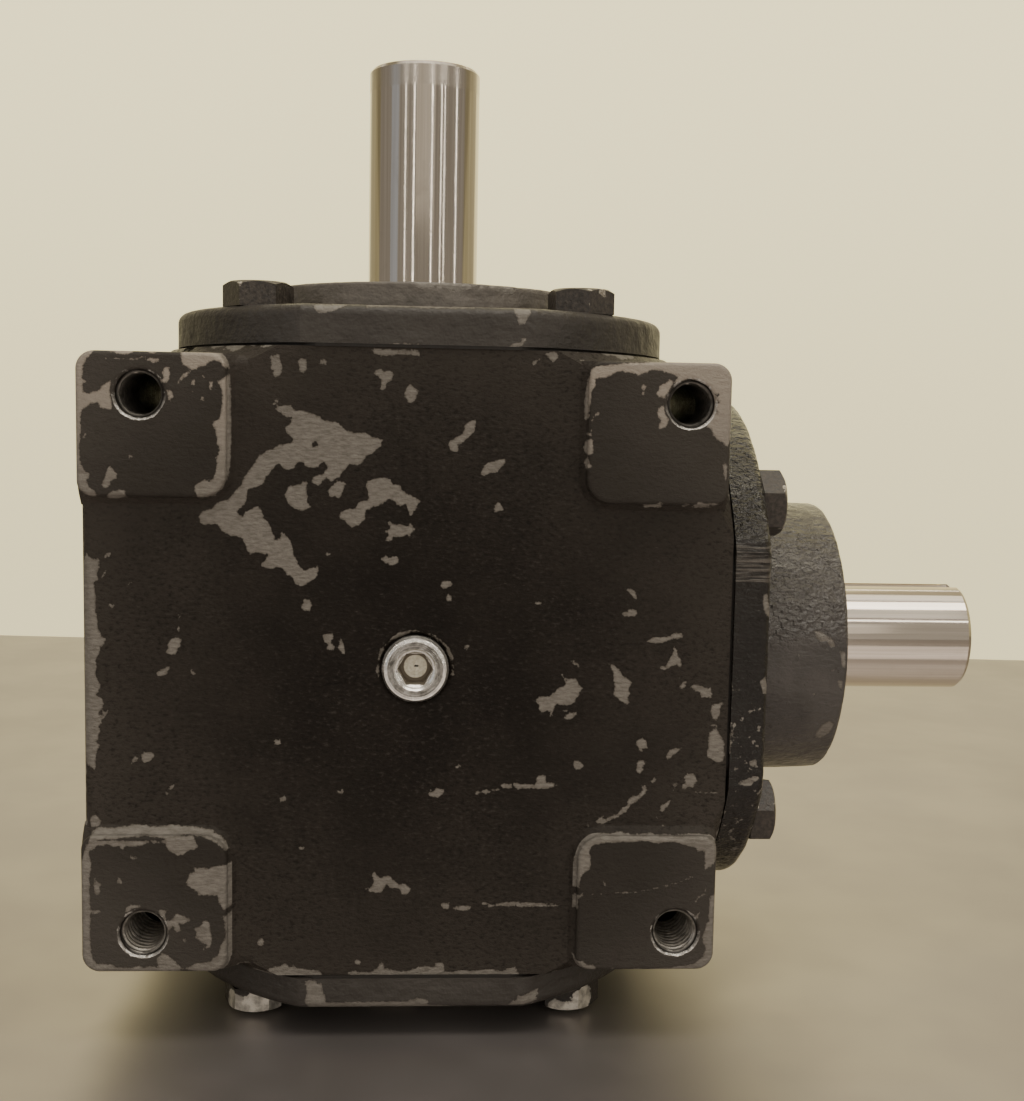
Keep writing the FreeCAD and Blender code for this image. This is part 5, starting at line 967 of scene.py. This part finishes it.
MAT = {
    "paint": painted_iron("black_paint_smooth", "body"),
    "cap": painted_iron("black_paint_turned", "cap"),
    "cast": painted_iron("black_paint_cast", "cast"),
    "plug": zinc_plug(),
    "out_shaft": shaft_steel("ground_shaft_upright", "Z", 1.0),
    # the level shaft's steel is painted lighter than the upright one's: painted light
    "in_shaft": shaft_steel("ground_shaft_level", "X", 1.58),
    "gear": steel("gear_steel", srgb(92, 88, 84), srgb(140, 136, 130), 0.34, scale=420),
    "race": steel("bearing_steel", srgb(150, 148, 146), srgb(198, 196, 192), 0.2, scale=700, bump=0.00005),
    "cage": steel("pressed_steel", srgb(110, 106, 98), srgb(150, 145, 134), 0.42, scale=600),
    "mild": steel("plain_steel", srgb(104, 101, 97), srgb(150, 146, 140), 0.4, scale=500),
    # the shims are near black: painted over, and painted shade in the gaps under the caps
    "shim": steel("shim_steel", (0.006, 0.0048, 0.0036), (0.014, 0.011, 0.0085), 0.6, scale=650, metallic=0.0),
    "spring": steel("spring_steel", srgb(120, 118, 114), srgb(170, 168, 162), 0.3, scale=900),
    "rubber": seal_rubber(),
    "threads": thread_steel(),
    "bolt_top": bolt_black("black_bolts_top", TOP_BOLT_SPOTS, False, 1.9),
    "bolt_side": bolt_black("black_bolts_side", SIDE_BOLT_SPOTS, False, 1.9),
    "bolt_bottom": bolt_black("black_bolts_bottom", BOTTOM_BOLT_SPOTS, True),
}


def dress(name, material):
    me = nodes[name].data
    me.materials.clear()
    me.materials.append(MAT[material])


for n in nodes:
    if n.endswith(("inner_ring", "outer_ring", "_rollers")):
        dress(n, "race")
    elif n.endswith("_cage"):
        dress(n, "cage")
    elif n.endswith("_shim"):
        dress(n, "shim")
    elif n.endswith("_spring"):
        dress(n, "spring")
    elif n.endswith("_seal"):
        dress(n, "rubber")
    elif n.endswith("_plug"):
        dress(n, "plug")
    elif n in ("output_gear", "input_pinion"):
        dress(n, "gear")
    else:
        dress(n, "mild")
dress("output_shaft", "out_shaft")
dress("input_shaft", "in_shaft")
dress("top_cap_bolts", "bolt_top")
dress("side_cap_bolts", "bolt_side")
dress("bottom_cap_bolts", "bolt_bottom")


# ---------------------------------------------------------------------------
# housing
# ---------------------------------------------------------------------------

COARSE = 1.0


def housing_limit(p):
    x, y, z = p[:, 0], p[:, 1], p[:, 2] - LIFT
    out = np.full(len(p), 9.0)
    outside = (np.abs(y) > 0.0475) | (x < -0.0640) | (x > 0.0610) | (np.abs(z) > 0.0610)
    r_bore = np.minimum(np.hypot(x, y) + 1e3 * (np.abs(z) < 0.058), np.hypot(y, z) + 1e3 * (x < 0.058))
    outside &= r_bore > 0.0392
    out[outside] = 0.0030
    out[y < -0.0470] = 0.0010 * COARSE
    hole = ((np.abs(x) - 0.05475) ** 2 + (np.abs(z) - 0.05475) ** 2 < 0.0058 ** 2) & (np.abs(y) < 0.0529)
    plug = (x ** 2 + z ** 2 < 0.0068 ** 2)
    out[hole | plug] = 9.0
    return out


def housing_step(normal, centre):
    if normal[1] < -0.99 and centre[1] < -0.0495:
        return 0.00055 * COARSE
    if normal[1] > 0.99 and centre[1] > 0.0495:
        return 0.0010 * COARSE
    if centre[0] < -0.0655 or centre[0] > 0.0615 or abs(centre[2] - LIFT) > 0.0615:
        return 0.0025
    return None


v, t = node_arrays("housing")
edge_pts = sharp_points(v, t, 9.0, 0.0008)
far = (np.abs(edge_pts[:, 1]) > 0.0470) | (edge_pts[:, 0] < -0.0630) | (edge_pts[:, 0] > 0.0600) | (np.abs(edge_pts[:, 2] - LIFT) > 0.0600)
holes = np.hypot(np.abs(edge_pts[:, 0]) - 0.05475, np.abs(edge_pts[:, 2] - LIFT) - 0.05475) < 0.0056
edge_pts = edge_pts[far & ~holes]
v, t = remesh(v, t, housing_limit, housing_step)
x, y, z = v[:, 0] / MM, v[:, 1] / MM, (v[:, 2] - LIFT) / MM
edge = near_distance(v, edge_pts, 0.009) / MM
chip = np.full(len(v), -3.0)
pad = (y < -50.95) & (y > -54)
body = (y >= -50.95) & (y < -46.5)
chip[pad] = outline_distance(x[pad], z[pad], PAD_CHIPS)
chip[body] = outline_distance(x[body], z[body], BODY_CHIPS)
side = body & (y > -49.6)
chip[side] -= np.maximum(0, y[side] + 49.6) * 0.9
isle = (y < -46.5)
chip[isle] = np.minimum(chip[isle], -outline_distance(x[isle], z[isle], PAINT_ISLANDS))
# scraped ring round the front plug, strongest from the left over the top to the right
rr, ang = np.hypot(x, z), np.degrees(np.arctan2(z, x))
arc = body & (rr < 10)
scrape = 0.34 - np.abs(rr - 7.7) + 0.42 * value_noise(v, 600, 3)
scrape -= 1.6 * ((ang < -12) & (ang > -165))
chip[arc] = np.maximum(chip[arc], scrape[arc])
# the rear face carries the same kind of knocks, upside down
rear_pad, rear_body = y > 50.95, (y <= 50.95) & (y > 49.6)
chip[rear_pad] = outline_distance(x[rear_pad], -z[rear_pad], PAD_CHIPS)
chip[rear_body] = outline_distance(x[rear_body], -z[rear_body], BODY_CHIPS)
edge[(y < -49.7) | (y > 49.7)] = 9.0
# inside walls stay plain
inside = (np.abs(y) < 47) & (x > -63) & (x < 60) & (np.abs(z) < 60)
chip[inside], edge[inside] = -3.0, 9.0
new_piece("housing_painted", v, t, MAT["paint"], "case",
          {"chip": chip, "edge": edge}, sharp=50.0, replace=("housing",))


# ---------------------------------------------------------------------------
# caps: rough cast skin, worn rims
# ---------------------------------------------------------------------------

def cast_cap(name, axis, sign, outlines, look, boss_r, skin, boss_skin, boss_outlines=()):
    """A cap with a slightly lumpy skin, on the flange and on the boss. axis is its bolt axis, sign its outward side."""
    v, t = node_arrays(name)
    c = v - np.array([0, 0, LIFT])
    k = "XYZ".index(axis)
    seat = 0.0655

    def limit(p):
        q = p - np.array([0, 0, LIFT])
        out = np.full(len(p), 9.0)
        h = q[:, k] * sign
        rad = np.linalg.norm(np.delete(q, k, axis=1), axis=1)
        out[(h > seat - 0.0002) & (rad > 0.0195)] = 0.0013 * COARSE
        return out

    pts = sharp_points(v, t, 12.0, 0.0008)
    h = (pts - np.array([0, 0, LIFT]))[:, k] * sign
    rad = np.linalg.norm(np.delete(pts - np.array([0, 0, LIFT]), k, axis=1), axis=1)
    pts = pts[(h > seat + 0.0015) & (rad > 0.03)]
    def step(normal, centre):
        return 0.0013 * COARSE if (centre - np.array([0, 0, LIFT]))[k] * sign > seat + 0.0003 else None

    v, t = remesh(v, t, limit, step)
    q = v - np.array([0, 0, LIFT])
    h = q[:, k] * sign
    rad = np.linalg.norm(np.delete(q, k, axis=1), axis=1)
    edge = near_distance(v, pts, 0.009) / MM
    x, y, z = q[:, 0] / MM, q[:, 1] / MM, q[:, 2] / MM
    chip = np.full(len(v), -3.0)
    front = y < -49.0
    if outlines:
        chip[front] = outline_distance(x[front], z[front], outlines)
        edge[front & (np.abs(y + 50.7) < 0.8)] += 4.0
    if boss_outlines:
        near = (y < -12) & (h > seat + 0.0080) & (rad < boss_r + 0.0002)
        chip[near] = outline_distance(x[near], z[near], boss_outlines)
    hidden = (h < seat - 0.0002) | (rad < 0.0203)
    edge[hidden] = 9.0
    # lumps go inwards only, and fade out at the machined faces
    n = vertex_normals(v, t)
    depth = np.where(rad < boss_r + 0.0002, boss_skin, skin)
    lump = depth * (0.5 + 0.32 * value_noise(v, 420, 1) + 0.18 * value_noise(v, 900, 2)) * MM
    fade = np.clip((h - seat - 0.0004) / 0.0008, 0, 1) * (~hidden)
    if name == "bottom_cap":
        fade *= np.clip((v[:, 2] - 0.0002) / 0.0006, 0, 1)
    v = v - n * (lump * fade)[:, None]
    return new_piece(name + "_cast", v, t, MAT[look], "case",
                     {"chip": chip, "edge": edge}, sharp=38.0, replace=(name,))


cast_cap("top_cap", "Z", 1, TOP_CAP_CHIPS, "cap", 0.0360, 0.05, 0.24)
cast_cap("bottom_cap", "Z", -1, BOTTOM_CAP_CHIPS, "cap", 0.0360, 0.08, 0.12)
cast_cap("side_cap", "X", 1, SIDE_CAP_CHIPS, "cast", 0.0332, 0.22, 0.22, SIDE_BOSS_CHIPS)


# ---------------------------------------------------------------------------
# threads in the tapped pad holes
# ---------------------------------------------------------------------------

def threads():
    turns, per_turn, per_pitch, pitch = 11, 40, 6, 1.5875
    root, crest = 4.74, 4.02
    ni, nj = per_turn, turns * per_pitch
    vs, fs, cr = [], [], []
    for side_y in (-1, 1):
        for sx in (-1, 1):
            for sz in (-1, 1):
                base = len(vs)
                for j in range(nj + 1):
                    s = j / per_pitch * pitch
                    for i in range(ni):
                        a = 2 * math.pi * i / ni
                        ph = (s / pitch - i / ni) % 1.0
                        tri = 1 - abs(2 * ph - 1)
                        rise = min(1.0, max(0.0, tri * 1.45 - 0.12))
                        ease = min(1.0, s / 0.9)
                        r = root - (root - crest) * rise * ease
                        yy = 53.1 - 0.45 - s
                        vs.append(((sx * 54.75 + r * math.cos(a)) * MM, side_y * yy * MM,
                                   (sz * 54.75 + r * math.sin(a)) * MM + LIFT))
                        cr.append(rise * ease)
                for j in range(nj):
                    for i in range(ni):
                        p, q = base + j * ni + i, base + j * ni + (i + 1) % ni
                        quad = (p, q, q + ni, p + ni)
                        fs.append(quad if side_y < 0 else quad[::-1])
    # faces look at the hole's axis
    return np.array(vs), np.array(fs)[:, ::-1], cr


tv, tf, crest = threads()
new_piece("tapped_threads", tv, tf, MAT["threads"], "case", {"crest": crest}, sharp=50.0)


# ---------------------------------------------------------------------------
# stage, light and camera
# ---------------------------------------------------------------------------

def stage_material(name, a, b, rough, scale, spec=0.5, metal=0.0, glow=None, strength=0.0):
    m = Look(name)
    n = m.noise(scale, 4, 0.6)
    m.set(Base_Color=m.mix(m.ramp(n, 0.3, 0.7), a, b), Roughness=m.ramp(m.noise(scale * 7, 3, 0.6), 0.3, 0.7, rough * 0.9, rough * 1.1))
    m.set(Specular_IOR_Level=spec, Metallic=metal)
    if glow:
        # the wall glows: painted light from its own emission, a little darker near the floor, falling off to the sides
        # and above
        p = m.parts(m.where)
        fall = m.math("MULTIPLY", m.ramp(p[2], 0.0, 0.40, 0.72, 1.0), m.ramp(m.math("ABSOLUTE", m.math("SUBTRACT", p[0], 0.045)), 0.30, 0.38, 1.0, 0.28))
        fall = m.math("MULTIPLY", fall, m.ramp(p[2], 0.39, 0.52, 1.0, 0.5))
        m.set(Emission_Color=glow, Emission_Strength=m.math("MULTIPLY", fall, strength))
    return m.mat


def sheet_mesh(name, corners, material):
    me = bpy.data.meshes.new(name)
    me.from_pydata(corners, [], [(0, 1, 2, 3)])
    me.materials.append(material)
    o = bpy.data.objects.new(name, me)
    bpy.context.scene.collection.objects.link(o)
    return o


# the wall stands a little askew behind the part
def wall_at(x):
    return 0.4412 - 0.0925 * x


sheet_mesh("floor", [(-3, -3, 0), (3, -3, 0), (3, wall_at(3), 0), (-3, wall_at(-3), 0)],
           stage_material("floor_pale", FLOOR_A, FLOOR_B, 0.45, 3.0, metal=0.84))
sheet_mesh("backdrop", [(-3, wall_at(-3), 0), (3, wall_at(3), 0), (3, wall_at(3) + 0.05, 3), (-3, wall_at(-3) + 0.05, 3)],
           stage_material("backdrop_pale", WALL_A, WALL_B, 0.8, 2.0, 0.2, 0.0, WALL_GLOW, WALL_GLOW_STRENGTH))


def area(name, at, to, size, power, colour, size_y=None):
    d = bpy.data.lights.new(name, "AREA")
    d.energy = power
    d.color = colour
    d.size = size
    if size_y:
        d.shape = "RECTANGLE"
        d.size_y = size_y
    o = bpy.data.objects.new(name, d)
    o.location = at
    o.rotation_mode = "QUATERNION"
    o.rotation_quaternion = (Vector(to) - Vector(at)).to_track_quat("-Z", "Y")
    bpy.context.scene.collection.objects.link(o)
    return o


for spec in LIGHTS:
    area(*spec)
for k, (turn, watts) in enumerate(LAMPS):
    a = math.radians(turn)
    area("lamp_%d" % k, (1.3 * math.sin(a), -1.3 * math.cos(a), 0.36), (0, 0, 0.17), 0.013, 2.3 * watts, (1.0, 0.94, 0.84), 0.9)

world = bpy.data.worlds.new("soft_room")
world.use_nodes = True
bg = world.node_tree.nodes["Background"]
bg.inputs["Color"].default_value = (*WORLD_COLOUR, 1.0)
bg.inputs["Strength"].default_value = WORLD_STRENGTH
bpy.context.scene.world = world

cam_data = bpy.data.cameras.new("camera")
cam_data.sensor_width = 36.0
cam_data.sensor_fit = "AUTO"
cam_data.lens = 1361.6 * 36.0 / 1101.0
cam_data.clip_start, cam_data.clip_end = 0.01, 20.0
cam = bpy.data.objects.new("camera", cam_data)
pitch, yaw, roll = math.radians(5.538), math.radians(3.273), math.radians(1.071)
r0 = Vector((math.cos(yaw), -math.sin(yaw), 0))
u0 = Vector((math.sin(yaw) * math.sin(pitch), math.cos(yaw) * math.sin(pitch), math.cos(pitch)))
fwd = Vector((math.sin(yaw) * math.cos(pitch), math.cos(yaw) * math.cos(pitch), -math.sin(pitch)))
right = r0 * math.cos(roll) + u0 * math.sin(roll)
up = -r0 * math.sin(roll) + u0 * math.cos(roll)
cam.matrix_world = Matrix(((right.x, up.x, -fwd.x, 0.0036), (right.y, up.y, -fwd.y, -0.32561),
                           (right.z, up.z, -fwd.z, 0.1295), (0, 0, 0, 1)))
bpy.context.scene.collection.objects.link(cam)
bpy.context.scene.camera = cam

bpy.context.view_layer.update()
